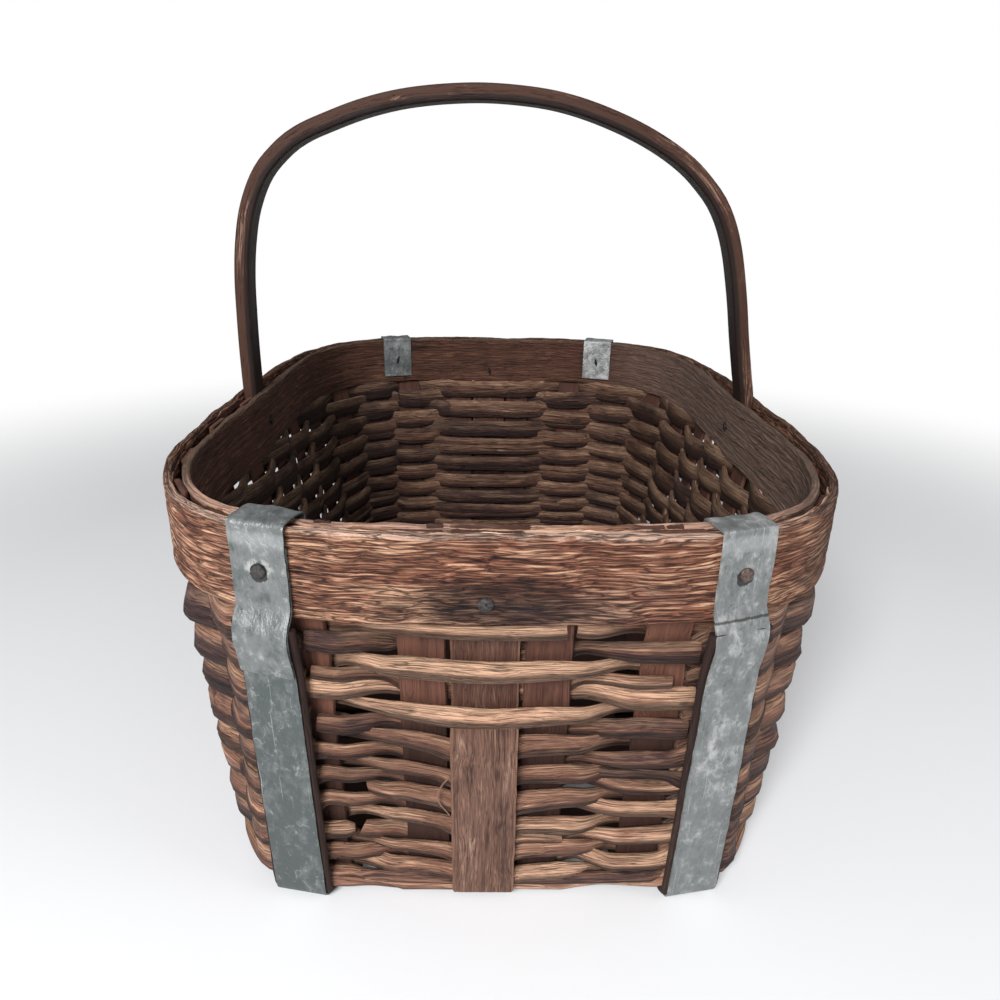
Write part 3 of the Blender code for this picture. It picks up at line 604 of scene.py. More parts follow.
def weaving_units():
    """The uprights in order round the basket. The inner pair of stakes and the centre runner
    are crossed as one."""
    outer_left, left, inner_left, inner_right, right, outer_right = LENGTHWISE_X
    front = [(outer_left,), (left,), (inner_left, MIDDLE_X, inner_right), (right,), (outer_right,)]
    units = [("front", places) for places in front]
    units += [("right", (y,)) for y in CROSSWISE_Y]
    units += [("back", tuple(reversed(places))) for places in reversed(front)]
    units += [("left", (y,)) for y in reversed(CROSSWISE_Y)]
    return units


def row_stations(row):
    """One full round of a row as (place in units, point, outward). The foot rod stays outside
    every upright."""
    stations = []
    foot_rod = row == FOOT_ROW
    height = FOOT_ROD_Z if foot_rod else row_height(row)
    for i, (face, places) in enumerate(weaving_units()):
        side = -1 if (i + row) % 2 and not foot_rod else 1
        if len(places) == 1:
            edges = [(places[0], -ROD_REACH, -0.12), (places[0], ROD_REACH, 0.12)]
        else:
            edges = [(places[0], -ROD_REACH, -0.27), (places[1], 0.0, 0.0),
                     (places[2], ROD_REACH, 0.27)]
        for along, edge, place in edges:
            lean = 0.0 if foot_rod else side * rod_height(row) * LEAN_SHARE
            point, across, outward = wall_frame(face, along, height, side * ROD_SWAY, lean=lean)
            stations.append((i + place, point + across * edge, outward))
    return stations


def row_ring(row):
    """The middle line of a full round of a row, rounded off, as (place in units, point, outward)."""
    stations = row_stations(row)
    count = len(stations)
    ring = []
    for i, (place, here, facing) in enumerate(stations):
        next_place, there, turned = stations[(i + 1) % count]
        if next_place < place:
            next_place += UNITS
        before, after = stations[i - 1][1], stations[(i + 2) % count][1]
        for point, share in between(before, here, there, after, 0.0045):
            outward = facing.lerp(turned, share).normalized()
            ring.append((place + (next_place - place) * share, point, outward))
    return ring


def rod(ring, start, end, tint, size, pick, lift=0.0):
    """A rod as a line for the sweep: it wavers, has knots and narrows at both ends."""
    run = [
        (place + lap, point, outward)
        for lap in (-UNITS, 0, UNITS, 2 * UNITS)
        for place, point, outward in ring
        if start <= place + lap <= end
    ]
    stations, sizes = [], []
    phase = pick.uniform(0, 6.28)
    knots = [pick.uniform(start, end) for _ in range(int((end - start) / 2.5))]
    tilt = pick.uniform(-0.12, 0.3)
    for place, point, outward in run:
        wave = math.sin(place * 1.7 + phase) * 0.0007 + math.sin(place * 4.1 + phase * 2) * 0.0003
        tuck = max(0.0, 0.35 - (place - start)) / 0.35
        point = point + UP * (wave + lift) - outward * tuck * 0.0008
        knot = sum(math.exp(-((place - k) / 0.035) ** 2) for k in knots) * 0.10
        narrow = min(1.0, 0.7 + (place - start) * 1.8, 0.75 + (end - place) * 1.6)
        stations.append((point, (outward + UP * tilt).normalized()))
        sizes.append(size * narrow * (1 + knot) * (1 + 0.03 * math.sin(place * 1.3 + phase)))
    return stations, sizes, tint, pick.random(), False


def ring_rods(row, ring, pick):
    """The rods of a row from behind the right strap round the back to behind the left one. Some
    stretches are one thick rod and some are two thin ones."""
    start, last, overlap = 3.3, UNITS + 0.93, 0.1
    rods = []
    while start < last:
        end = min(start + pick.choice((2, 3, 5)) + pick.uniform(-0.15, 0.15), last)
        if last - end < 1.5:
            end = last
        tint = pick.choice((0.15, 0.25, 0.35, 0.45, 0.5))
        if pick.random() < 0.4:
            apart = 0.25 * rod_height(row)
            for lift in (-apart, apart):
                shade = tint + pick.uniform(-0.1, 0.12)
                rods.append(rod(ring, start - overlap, end + overlap, shade, 0.74, pick, lift))
        else:
            size = pick.uniform(0.95, 1.05)
            rods.append(rod(ring, start - overlap, end + overlap, tint, size, pick))
        start = end
    return rods


def front_sway(row, along):
    """How far outward a rod runs between the straps: even rows pass outside the middle."""
    if row == FOOT_ROW:
        return ROD_SWAY
    rise = min(max((along - CROSSING_LEFT) / CROSSING_RUN, 0.0), 1.0)
    fall = min(max((CROSSING_RIGHT - along) / CROSSING_RUN, 0.0), 1.0)
    middle = 2 * (rise * rise * (3 - 2 * rise) * fall * fall * (3 - 2 * fall)) - 1
    return ROD_SWAY * FRONT_BULGE * (middle if row % 2 == 0 else -middle)


def front_rod(row, tint, ends, places, breadth, pick):
    """A rod between the straps, drawn from its table and carried on under its neighbours."""
    places = [(x / 1000, z / 1000, size / 1000) for x, z, size in places]
    level = FOOT_ROD_Z if row == FOOT_ROW else row_height(row)
    for side, end in ((0, ends[0]), (-1, ends[1])):
        x, z, size = places[side]
        if end in "cr":
            continue
        beyond = x < -0.05 or x > 0.05
        behind = -BEHIND_LEFT_STRAP if x < 0 else BEHIND_RIGHT_STRAP
        goal = behind if beyond else MIDDLE_X
        if end == "t":
            places[side] = (x, z, max(size, 0.0045))
        carried_z = level if beyond else max(z - TUCK_DROP, TUCK_LOWEST)
        reach = math.copysign(min(TUCK_REACH, abs(goal - x) / 2), goal - x)
        hidden = [(goal, carried_z, 0.0100), (x + reach, carried_z, 0.0090)]
        places = hidden + places if side == 0 else places + hidden[::-1]
    count = max(int((places[-1][0] - places[0][0]) / 0.002), 3)
    samples = []
    for i in range(count + 1):
        x = places[0][0] + (places[-1][0] - places[0][0]) * i / count
        for (x0, z0, size0), (x1, z1, size1) in zip(places, places[1:]):
            if x0 - 1e-9 <= x <= x1 + 1e-9:
                share = (x - x0) / (x1 - x0)
                samples.append((x, z0 + (z1 - z0) * share, size0 + (size1 - size0) * share))
                break
    for _ in range(6):
        inner = [
            tuple((a + 2 * b + c) / 4 for a, b, c in zip(*neighbours))
            for neighbours in zip(samples, samples[1:], samples[2:])
        ]
        samples = [samples[0], *inner, samples[-1]]
    phase, tilt = pick.uniform(0, 6.28), pick.uniform(0.0, 0.35)
    stations, sizes = [], []
    for i, (x, z, size) in enumerate(samples):
        wave = 0.0003 * math.sin(x * 60 + phase)
        height = max(z, LOWEST_FRONT)
        point, _, outward = wall_frame("front", x, height, front_sway(row, x))
        blunt = 1.0
        for end, gap in ((ends[0], i), (ends[1], len(samples) - 1 - i)):
            if end in END_SHAPES and gap < len(END_SHAPES[end]):
                blunt = min(blunt, END_SHAPES[end][gap])
        stations.append((point + UP * wave, (outward + UP * tilt).normalized()))
        sizes.append(min(size, 1.4 * height) / (0.9 * breadth) * blunt * FRONT_FULLNESS)
    return stations, sizes, tint, pick.random(), False


def rod_shade_and_highlight(surface, fine, stain):
    """Painted shade on a rod's lower and inner sides and a painted highlight on its upper side."""
    depth, breadth, _ = surface.in_piece()
    x, y, _ = surface.on_basket()
    left = 1.0 - x.step(-0.13, -0.08)
    back = y.step(0.17, 0.21)
    inner = (0.0 - depth).step(-0.0008, 0.0016) * (0.76 + left * 0.14 - back * 0.32)
    top_highlight = (0.0 - breadth).step(0.0005, 0.0045) * stain.step(0.3, 0.7)
    under_shade = (breadth + (fine - 0.5) * 0.003).step(0.0, 0.0040)
    # Painted shade under and inside each rod, and a painted highlight along its top.
    return [
        (inner, (42, 29, 24)), (top_highlight * 0.3, (206, 170, 138)), (under_shade * 0.8, (38, 27, 26)),
    ]


def make_rods():
    material = wood("willow rod", (70, 51, 50), (138, 98, 80), (218, 172, 142), fibre=950.0,
                    relief=0.0012, contrast=0.75, rough=0.5, cracks=0.8, grooves=0.35,
                    finish=rod_shade_and_highlight)
    for row in range(FOOT_ROW, ROW_COUNT):
        pick = random.Random(100 + row)
        ring = row_ring(row)
        breadth = FOOT_ROD_BREADTH if row == FOOT_ROW else rod_height(row) * 2.0
        lines = ring_rods(max(row, 0), ring, pick)
        if row == FOOT_ROW:
            lines.append(rod(ring, 0.5, 3.8, 0.2, 0.95, pick, 0.0004))
        for front_row, tint, ends, places in FRONT_RODS:
            if front_row == row:
                shade = tint + (SUNLIT if row < SUNLIT_ROWS else 0.0)
                lines.append(front_rod(row, shade, ends, places, breadth, pick))
        node = "foot_rod" if row == FOOT_ROW else f"weaver_row_{row + 1:02d}"
        swept(node.replace("_", " "), lines, material, [node], "willow_rod", width=breadth,
              thickness=0.0054, corner_radius=0.0025, points_around=18, furrow_depth=0.0007,
              furrows_per_metre=300.0)


make_rods()

# Runners
# Three split-wood skids over the rods. The outer two lie under the straps; the middle one is
# tucked between the hoops, comes out through the weave and curls under the base.

RUNNER_WIDTH, RUNNER_THICKNESS, RUNNER_BEND = 0.030, 0.0035, 0.005
CENTRE_THICKNESS = 0.003
RUNNER_LEVEL, CENTRE_LEVEL, RUNNER_GAP = 0.00305, 0.0033, 0.0009
STRAP_X = 0.541 * RIM_HALF_WIDTH
WALL_HEIGHTS = [row_height(row) for row in (16, 14, 11, 8, 5, 2)]
TALLEST_ROD = rod_height(ROW_COUNT - 1)


def over_rods(thickness, gap=CLEARANCE, upright=STAKE_THICKNESS):
    """The place of a strip whose inner face lies gap outside the rods that cross an upright."""
    reach = upright / 2 + CLEARANCE + ROD_DEPTH
    lean = TALLEST_ROD * LEAN_SHARE
    return {"offset": reach + gap + thickness / 2, "thickness": upright, "lean": lean}


def both_walls(make):
    """One run from the top of the front wall, under the base, to the top of the back wall."""
    return make("front") + make("back")[::-1]


def worn_and_strap_shaded(surface, _, stain):
    """Dark and reddish up between the stakes, painted shade by a strap, pale along the edges."""
    x, _, z = surface.on_basket()
    sheltered = (z + (stain - 0.5) * 0.01).step(0.104, 0.112)
    strap_shade = x.size().step(0.06, 0.07)
    bare = 1.0 - strap_shade
    bend = surface.noise(surface.own_place(), (95.0, 95.0, 15.0), 0.0) - 0.5
    scar = (1.0 - bend.size().step(0.004, 0.014)) * stain.step(0.45, 0.6)
    worn = surface.in_piece()[1].size().step(0.0134, 0.0142)
    return [
        # Painted shade darkens the outer runners where they show beside the straps.
        (sheltered * 0.6, (70, 42, 34)), (strap_shade * 0.85, (38, 27, 25)),
        (scar * bare * 0.5, (168, 138, 120)), (worn * bare * 0.5, (146, 108, 88)),
    ]


def make_runners():
    material = wood("runner splint", (60, 42, 36), (108, 80, 68), (150, 118, 100), fibre=1500.0,
                    contrast=0.7, grooves=0.4, finish=worn_and_strap_shaded)
    heights = [HOOP_BOTTOM - 0.003, *WALL_HEIGHTS]
    for label, x, seed in (("left", -STRAP_X, 0.31), ("right", STRAP_X, 0.77)):
        place = over_rods(RUNNER_THICKNESS, RUNNER_GAP)
        run = smoothed(both_walls(
            lambda face: down_wall(face, x, heights, RUNNER_LEVEL, RUNNER_BEND, **place)))
        line = (run, even(run), 0.45, seed, False)
        swept(f"{label} runner", [line], material, [f"{label}_runner"], "runner_splint",
              width=RUNNER_WIDTH - 0.001, thickness=RUNNER_THICKNESS, points_around=44,
              edge_wear=0.0007)

    def centre(face):
        lowest = 12 if face == "front" else 13
        leaves = row_height(lowest) - TALLEST_ROD / 2 - 2 * CLEARANCE
        arrives = row_height(lowest - 2) + TALLEST_ROD / 2 + 2 * CLEARANCE
        tucked = [
            (point, outward) for point, _, outward in (
                wall_frame(face, MIDDLE_X, z, thickness=CENTRE_THICKNESS)
                for z in (RIM_HEIGHT - 0.001, 0.18, HOOP_BOTTOM, SHOULDER_Z, leaves))
        ]
        heights = (arrives, row_height(lowest // 2), row_height(2))
        place = over_rods(CENTRE_THICKNESS, upright=CENTRE_THICKNESS)
        return tucked + down_wall(face, MIDDLE_X, heights, CENTRE_LEVEL, RUNNER_BEND, **place)

    run = smoothed(both_walls(centre))
    line = (run, even(run), 0.5, 0.12, False)
    swept("centre runner", [line], material, ["centre_runner"], "runner_splint", width=0.0295,
          thickness=CENTRE_THICKNESS, points_around=44, edge_wear=0.0006)
    sprung = []
    for x, z in ((-0.0215, 0.080), (-0.0260, 0.073), (-0.0272, 0.065), (-0.0225, 0.056)):
        point, _, outward = wall_frame("front", x, z, over_rods(CENTRE_THICKNESS)["offset"])
        sprung.append((point, outward))
    sprung = smoothed(sprung, 0.002)
    swept("sliver of the centre runner", [(sprung, even(sprung), 0.9, 0.2, False)], material, [],
          "runner_splint", width=0.0007, thickness=0.0005, corner_radius=0.0001, points_around=10,
          furrow_depth=0.0)


make_runners()

# Hoops
# Two boards bent round the top, one outside and one inside the stakes. Weather has furrowed
# them along the grain and split their top edges into pale, ragged layers.


def hoop_run(depth):
    """Stations along a hoop's middle line, from the back left strap round to it again."""
    fine = []
    for i in range(3600):
        angle = 2 * math.pi * i / 3600 + math.radians(112)
        reach_x = abs(math.cos(angle) / RIM_HALF_WIDTH) ** RIM_SQUARENESS
        reach_y = abs(math.sin(angle) / RIM_HALF_LENGTH) ** RIM_SQUARENESS
        reach = (reach_x + reach_y) ** (-1 / RIM_SQUARENESS)
        fine.append(Vector((reach * math.cos(angle), reach * math.sin(angle), 0)))
    stations, travelled = [], 0.0
    for i, point in enumerate(fine):
        travelled += (point - fine[i - 1]).length if i else 0.0
        if travelled >= 0.003 * len(stations):
            outward = oblong_normal(point, RIM_HALF_WIDTH, RIM_HALF_LENGTH, RIM_SQUARENESS)
            place = point - outward * depth(point.y)
            place.z = (RIM_HEIGHT + HOOP_BOTTOM) / 2
            stations.append((place, outward))
    return stations


def worn_top(surface, fine, pale, dull):
    """The top edge is ragged, worn pale along the front and weathered dull round the rest."""
    spot = surface.spot()
    x, y, z = surface.parts(spot)
    ragged = surface.noise(spot, (90.0, 90.0, 90.0), 4.0, 0.7) - 0.5
    worn = (z + ragged * 0.008).step(0.1974, 0.1990) * (fine * 0.8 + 0.4)
    behind = (y + ragged * 0.05).step(-0.205, -0.150).at_least(x.step(0.100, 0.135) * 0.8)
    return worn.at_most(1.0), surface.mix(behind, srgb(*pale), srgb(*dull))


def front_board_wear_and_shadow(surface, fine, stain):
    """The left of the front board is paler along its grain, a rust stain with painted shadow
    darkens it round the nail, and the right is browner."""
    x, y, z = surface.on_basket()
    front = 1.0 - y.step(-0.226, -0.200)
    left = (1.0 - x.step(-0.125, -0.050)) * fine.step(0.42, 0.58)
    # Round the nail: a dark rust stain deepened by painted shadow, and a split to either side.
    across = (x + 0.004) / 0.060
    high = (z - 0.1685) / 0.014
    spread = across * across + high * high + (stain - 0.5) * 2.0 + (fine - 0.5) * 2.4
    near = 1.0 - spread.step(0.0, 1.3)
    split = (z - 0.1680 + (stain - 0.5) * 0.010).size().step(0.0004, 0.0018)
    split = (1.0 - split) * (1.0 - across.size().step(0.30, 0.62))
    low = 1.0 - z.step(0.168, 0.186)
    middle = x.step(-0.030, 0.010) * (1.0 - x.step(0.060, 0.105)) * low
    right = x.step(0.075, 0.140) * fine.step(0.35, 0.6)
    corner = x.step(0.100, 0.150) * stain.step(0.25, 0.6)
    return [
        (front * left * 0.6, (206, 166, 138)),
        ((near * 0.8).at_least(split) * front, (40, 29, 29)),
        (front * middle * stain.step(0.4, 0.6) * 0.5, (84, 60, 62)),
        (front * right * 0.45, (176, 112, 74)),
        (corner * 0.65, (94, 63, 46)),
        worn_top(surface, fine, (214, 178, 158), (112, 82, 66)),
    ]


def inner_board_light_and_wear(surface, fine, _):
    """Painted light on the right of the inner board, and its top edge is worn."""
    right_end_light = surface.on_basket()[0].step(0.08, 0.17)
    top = worn_top(surface, fine, (196, 156, 136), (98, 80, 68))
    # The right of the inner board, which faces the light, is painted lighter.
    return [(right_end_light * 0.6, (134, 114, 104)), top]


def make_hoops():
    outer_wood = wood("outer hoop wood", (70, 44, 40), (148, 96, 75), (224, 174, 142), fibre=950.0,
                      relief=0.0026, contrast=0.95, cracks=0.8, broken=17.0, grooves=0.9,
                      finish=front_board_wear_and_shadow)
    inner_wood = wood("inner hoop wood", (42, 29, 24), (86, 58, 47), (124, 90, 72), fibre=900.0,
                      relief=0.0010, contrast=0.5, broken=24.0, grooves=0.4, finish=inner_board_light_and_wear)
    outer = hoop_run(lambda y: HOOP_THICKNESS / 2)
    inner = hoop_run(lambda y: HOOP_THICKNESS * 1.5 + hoop_gap(y))
    boards = (("outer hoop", outer, outer_wood, 0.66), ("inner hoop", inner, inner_wood, 0.48))
    for name, run, material, tint in boards:
        line = (run, even(run), tint, 0.4, True)
        swept(name, [line], material, [name.replace(" ", "_")], "hoop_wood", width=0.0390,
              thickness=0.0037, corner_radius=0.0006, points_around=110, furrow_depth=0.0024,
              furrows_per_metre=620.0, edge_wear=0.0020, edge_wear_per_metre=32.0)


make_hoops()

# Rim splinters
# Slivers split off the hoops' top edges and the stakes' broken tops, bleached at the front and
# dark round the rest. They stand in the gap between the hoops, still held by the boards.

# Chips along the front edge of the inner board: from x, to x, how light. The darkest are painted
# shade standing in the notches between the pale ones.
CHIPS_AND_NOTCH_SHADE = (
    (-0.0760, -0.0690, -0.6), (-0.0300, -0.0235, -0.6), (0.0060, 0.0105, -0.6),
    (-0.0215, 0.0050, 0.1), (0.0120, 0.0640, 0.3), (0.0660, 0.0730, -0.6),
)


def make_splinters():
    material = wood("split rim wood", (70, 48, 40), (134, 98, 80), (218, 180, 154), fibre=1500.0,
                    relief=0.0006)
    pick = random.Random(11)
    run = hoop_run(lambda y: 0.0)
    lines = []
    for count in range(84):
        first = pick.randrange(len(run)) if count % 3 else pick.randrange(115, 250)
        length = pick.choice((4, 7, 10, 14, 20))
        share = pick.choice((0.0, 0.08, 0.5, 0.9, 1.0)) + pick.uniform(-0.06, 0.06)
        top = RIM_HEIGHT - pick.uniform(0.0002, 0.0035)
        stations, sizes = [], []
        slope = pick.uniform(-0.0012, 0.0012) / length
        for i in range(length):
            point, outward = run[(first + i) % len(run)]
            depth = HOOP_THICKNESS + hoop_gap(point.y) * share
            place = point - outward * (depth + 0.0003 * math.sin(i * 0.9))
            place.z = top - 0.0022 + slope * i
            stations.append((place, outward))
            sizes.append(min(1.0, 0.35 + 0.3 * min(i, length - 1 - i)))
        front = stations[0][0].y < -0.19
        tint = pick.uniform(0.5, 0.95) if front else pick.uniform(0.0, 0.35)
        lines.append((stations, sizes, tint, pick.random(), False))
    # The darkest chips are painted shade where the top layer is notched.
    for start, end, tint in CHIPS_AND_NOTCH_SHADE:
        stations = []
        for i in range(8):
            x = start + (end - start) * i / 7
            point, outward = rim_frame("front", x)
            place = point - outward * (HOOP_THICKNESS * 1.3 + hoop_gap(point.y))
            place.z = RIM_HEIGHT - 0.0032 + 0.0003 * (i % 2)
            stations.append((place, outward))
        lines.append((stations, [1.7] * 8, tint, pick.random(), False))
    swept("rim splinters", lines, material, [], "hoop_wood", width=0.0044, thickness=0.0011,
          corner_radius=0.0003, points_around=14, edge_wear=0.0012, edge_wear_per_metre=140.0)


make_splinters()

# Bow handle
# One stick shaved nearly square, bent into a bow while green. Its ends stand between the hoops
# at the middle of the long sides and are nailed there.

HANDLE_WIDTH, HANDLE_THICKNESS, HANDLE_TOP = 0.017, 0.009, 0.3822
# The bow's middle line: share of a leg's distance from the middle, share of the rise
HANDLE_SHAPE = (
    (-1.000, 0.000), (-0.999, 0.152), (-0.995, 0.281), (-0.988, 0.405), (-0.971, 0.525),
    (-0.939, 0.642), (-0.880, 0.750), (-0.795, 0.829), (-0.734, 0.866), (-0.664, 0.895),
    (-0.500, 0.949), (-0.335, 0.983), (-0.130, 1.000), (0.035, 0.997), (0.197, 0.979),
    (0.361, 0.938), (0.530, 0.875), (0.674, 0.796), (0.776, 0.708), (0.818, 0.655),
    (0.850, 0.597), (0.874, 0.538), (0.893, 0.476), (0.924, 0.350), (0.950, 0.222),
    (0.980, 0.090), (1.000, 0.000),
)


def handle_shadow_and_highlight(surface, fine, stain):
    """Painted shadow on the inner face and a painted highlight on the chipped flat sides."""
    depth, breadth, _ = surface.in_piece()
    inner = (0.0 - depth).step(0.0006, 0.0018)
    side = breadth.size().step(0.0066, 0.0080) * (1.0 - inner)
    chips = side * stain.step(0.52, 0.60) * fine.step(0.50, 0.60)
    # Painted shadow on the inner face, a painted highlight on the flat sides, and pale chips.
    return [(inner * 0.8, (30, 17, 12)), (side * 0.6, (76, 49, 37)), (chips * 0.6, (150, 118, 102))]


def make_handle():
    leg = RIM_HALF_WIDTH - HOOP_THICKNESS - CLEARANCE - HANDLE_THICKNESS / 2
    furrowed = 0.0003
    rise = HANDLE_TOP - HANDLE_THICKNESS / 2 - furrowed - RIM_HEIGHT
    line = [(-leg, HOOP_BOTTOM + CLEARANCE), (-leg, 0.185)]
    line += [(leg * x, RIM_HEIGHT + rise * z) for x, z in HANDLE_SHAPE]
    line += [(leg, 0.185), (leg, HOOP_BOTTOM + CLEARANCE)]
    points = [Vector((x, 0, z)) for x, z in line]
    stations = []
    for i, point in enumerate(points):
        run = points[min(i + 1, len(points) - 1)] - points[max(i - 1, 0)]
        stations.append((point, Vector((-run.z, 0, run.x)).normalized()))
    run = smoothed(stations, 0.004)
    material = wood("handle wood", (24, 15, 12), (52, 34, 26), (132, 92, 70), fibre=1200.0,
                    contrast=0.7, rough=0.5, finish=handle_shadow_and_highlight)
    swept("bow handle", [(run, even(run), 0.30, 0.63, False)], material, ["bow_handle"],
          "handle_wood", width=HANDLE_WIDTH, thickness=HANDLE_THICKNESS, corner_radius=0.0013,
          points_around=40, furrow_depth=0.0004, furrows_per_metre=300.0)


make_handle()

# Galvanised straps
# Two lengths of galvanised steel strip over the outer runners, folded over the rim and nailed.
# The left one is lapped near the top. They are dented, creased under the hoop and gone chalky.

STRAP_WIDTH, STRAP_THICKNESS, STRAP_FOLD = 0.0254, 0.001, 0.034
STRAP_CREASE = HOOP_BOTTOM + 0.005
CREASE_LINE = HOOP_BOTTOM + 0.0015


def zinc(name):
    """Galvanised sheet: mottled grey crystals, bright scuffs, dark pits, long scratches, a torn
    hole round the front nails, chalky on the left, painted shade where the right strap bends in
    under the hoop, a painted highlight along the top fold and painted light on the back half."""
    surface = Surface(name)
    place = surface.own_place()
    patch = surface.noise(place, (85.0, 85.0, 60.0), 5.0, 0.7)
    mottle = surface.noise(place, (240.0, 240.0, 170.0), 3.0, 0.65)
    scuff = surface.noise(place, (130.0, 130.0, 90.0)) - 0.5
    pit = surface.noise(surface.vector("ADD", place, (3.0, 5.0, 7.0)), (330.0, 330.0, 330.0))
    scratch = surface.noise(place, (1300.0, 1300.0, 22.0), 1.0)
    x, y, z = surface.on_basket()
    behind = y.step(0.0, 0.1)
    ahead = 1.0 - behind
    right = x.step(-0.01, 0.01)
    tone = surface.attribute("tint", "Fac") + (patch - 0.5) * 1.15 + (mottle - 0.5) * 1.1
    # Painted light lifts the tone of the straps' back half.
    tone = tone - (1.0 - z.step(0.02, 0.09)) * 0.06 + behind * 0.2
    scuffed = (1.0 - scuff.size().step(0.006, 0.020)) * mottle.step(0.50, 0.58)
    bright = scuffed * 0.22 + scratch.step(0.72, 0.76) * 0.4
    dark = pit.step(0.66, 0.74) * 0.35
    across = x.size() - STRAP_X * RIM_FLARE - 0.0004
    high = z - (RIM_HEIGHT - 0.0198)
    far = (across * across + high * high) ** 0.5 + (mottle - 0.5) * 0.004
    chalk = (1.0 - far.step(0.0055, 0.0072)) * mottle.step(0.42, 0.52) * high.step(-0.0005, 0.0015)
    hole = 1.0 - far.step(0.0038, 0.0043)
    # Painted shade at the right strap's bend under the hoop; a painted highlight on the top fold.
    crease_shade = 1.0 - (z - CREASE_LINE + (patch - 0.5) * 0.003).size().step(0.0002, 0.0008)
    roll_highlight = z + (patch - 0.5) * 0.006
    roll_highlight = roll_highlight.step(0.1900, 0.1935) * (1.0 - roll_highlight.step(0.1965, 0.1990))
    colour = surface.layered(srgb(80, 86, 86), [
        (tone.step(0.0, 0.55), (118, 121, 121)), (tone.step(0.5, 1.0), (172, 173, 172)),
        (bright.at_most(1.0), (196, 202, 200)), (dark, (56, 58, 56)),
        (chalk * (1.0 - right) * ahead * 0.6, (190, 192, 188)), (hole * ahead * 0.85, (34, 32, 32)),
        (crease_shade * right * ahead * 0.8, (44, 42, 38)), (roll_highlight * 0.22, (206, 210, 210)),
    ])
    height = mottle * 0.25 + patch * 1.8 - dark * 0.5
    return surface.finished({
        "Base Color": colour, "Roughness": mottle * 0.3 + 0.34, "Metallic": 0.4 - dark * 0.5,
        "Normal": surface.bump(height, 0.0012),
    })


def strap_over_hoop(face, x, lift):
    """From the folded end inside the rim, over the top and down the outer hoop's face."""
    place, half = x * RIM_FLARE, STRAP_WIDTH * 0.6
    outside, outward = rim_frame(face, place)

    def inner(along):
        point, facing = rim_frame(face, along)
        return point - facing * (2 * HOOP_THICKNESS + hoop_gap(point.y))

    inside = (inner(place - half) + inner(place + half)) / 2
    up_and_in, up_and_out = (UP - outward).normalized(), (UP + outward).normalized()
    turns = (
        (inside, -outward, RIM_HEIGHT - STRAP_FOLD), (inside, -outward, RIM_HEIGHT - 0.004),
        (inside, -outward, RIM_HEIGHT), (inside, up_and_in, RIM_HEIGHT), (inside, UP, RIM_HEIGHT),
        (outside, UP, RIM_HEIGHT), (outside, up_and_out, RIM_HEIGHT), (outside, outward, RIM_HEIGHT),
        (outside, outward, RIM_HEIGHT - 0.004), (outside, outward, STRAP_CREASE + 0.003),
        (outside, outward, STRAP_CREASE),
    )
    return [(seat + facing * lift + UP * z, facing) for seat, facing, z in turns]


def strap_place(lift):
    return over_rods(STRAP_THICKNESS, RUNNER_GAP + RUNNER_THICKNESS + lift - STRAP_THICKNESS / 2)


def strap_down_wall(face, x, lift):
    radius = RUNNER_BEND + RUNNER_THICKNESS / 2 + CLEARANCE + STRAP_THICKNESS / 2
    return down_wall(face, x, WALL_HEIGHTS, STRAP_THICKNESS / 2, radius, **strap_place(lift))


def strap(name, run, seed, tint, dents=0.0022):
    stations = smoothed(run, 0.002)
    swept(name, [(stations, even(stations), tint, seed, False)], ZINC, [name.replace(" ", "_")],
          "galvanised_steel", width=STRAP_WIDTH, thickness=STRAP_THICKNESS, corner_radius=0.0003,
          points_around=56, furrow_depth=0.0, dent_depth=dents, dents_per_metre=85.0,
          edge_wear=0.0002)


def make_straps():
    lift = CLEARANCE + STRAP_THICKNESS / 2

    def over_and_down(face, x):
        return strap_over_hoop(face, x, lift) + strap_down_wall(face, x, lift)

    right = over_and_down("front", STRAP_X) + over_and_down("back", STRAP_X)[::-1]
    strap("right strap", right, 0.21, 0.58)
    outside, outward = rim_frame("front", -STRAP_X * RIM_FLARE)
    start = outside + outward * lift
    left = [(start + UP * (RIM_HEIGHT - 0.008), outward), (start + UP * STRAP_CREASE, outward)]
    left += strap_down_wall("front", -STRAP_X, lift)
    strap("left strap", left + over_and_down("back", -STRAP_X)[::-1], 0.56, 0.14)
    lapped = lift + STRAP_THICKNESS + CLEARANCE
    hook = strap_over_hoop("front", -STRAP_X, lapped)
    for z in WALL_HEIGHTS[:2]:
        point, _, facing = wall_frame("front", -STRAP_X, z, **strap_place(lapped))
        hook.append((point, facing))
    strap("left strap hook", hook, 0.83, 0.40, dents=0.0026)


ZINC = zinc("galvanised sheet")
make_straps()

# Nails
# Round-headed iron wire nails through the straps, the rim and the handle's ends, grey but for
# one that has rusted brown. Their points stick out inside, bent over and black.

NAIL_HEAD, NAIL_SHANK = 0.0033, 0.0014


def iron(name, dark, light):
    surface = Surface(name)
    place = surface.spot()
    rust = surface.noise(place, (700.0, 700.0, 700.0), 3.0, 0.7)
    pit = surface.noise(place, (2200.0, 2200.0, 2200.0))
    return surface.finished({
        "Base Color": surface.layered(srgb(*dark), [(rust.step(0.35, 0.65), light)]),
        "Roughness": rust * 0.4 + 0.4, "Metallic": 0.6 - rust * 0.4,
        "Normal": surface.bump(rust + pit * 0.5, 0.0004),
    })


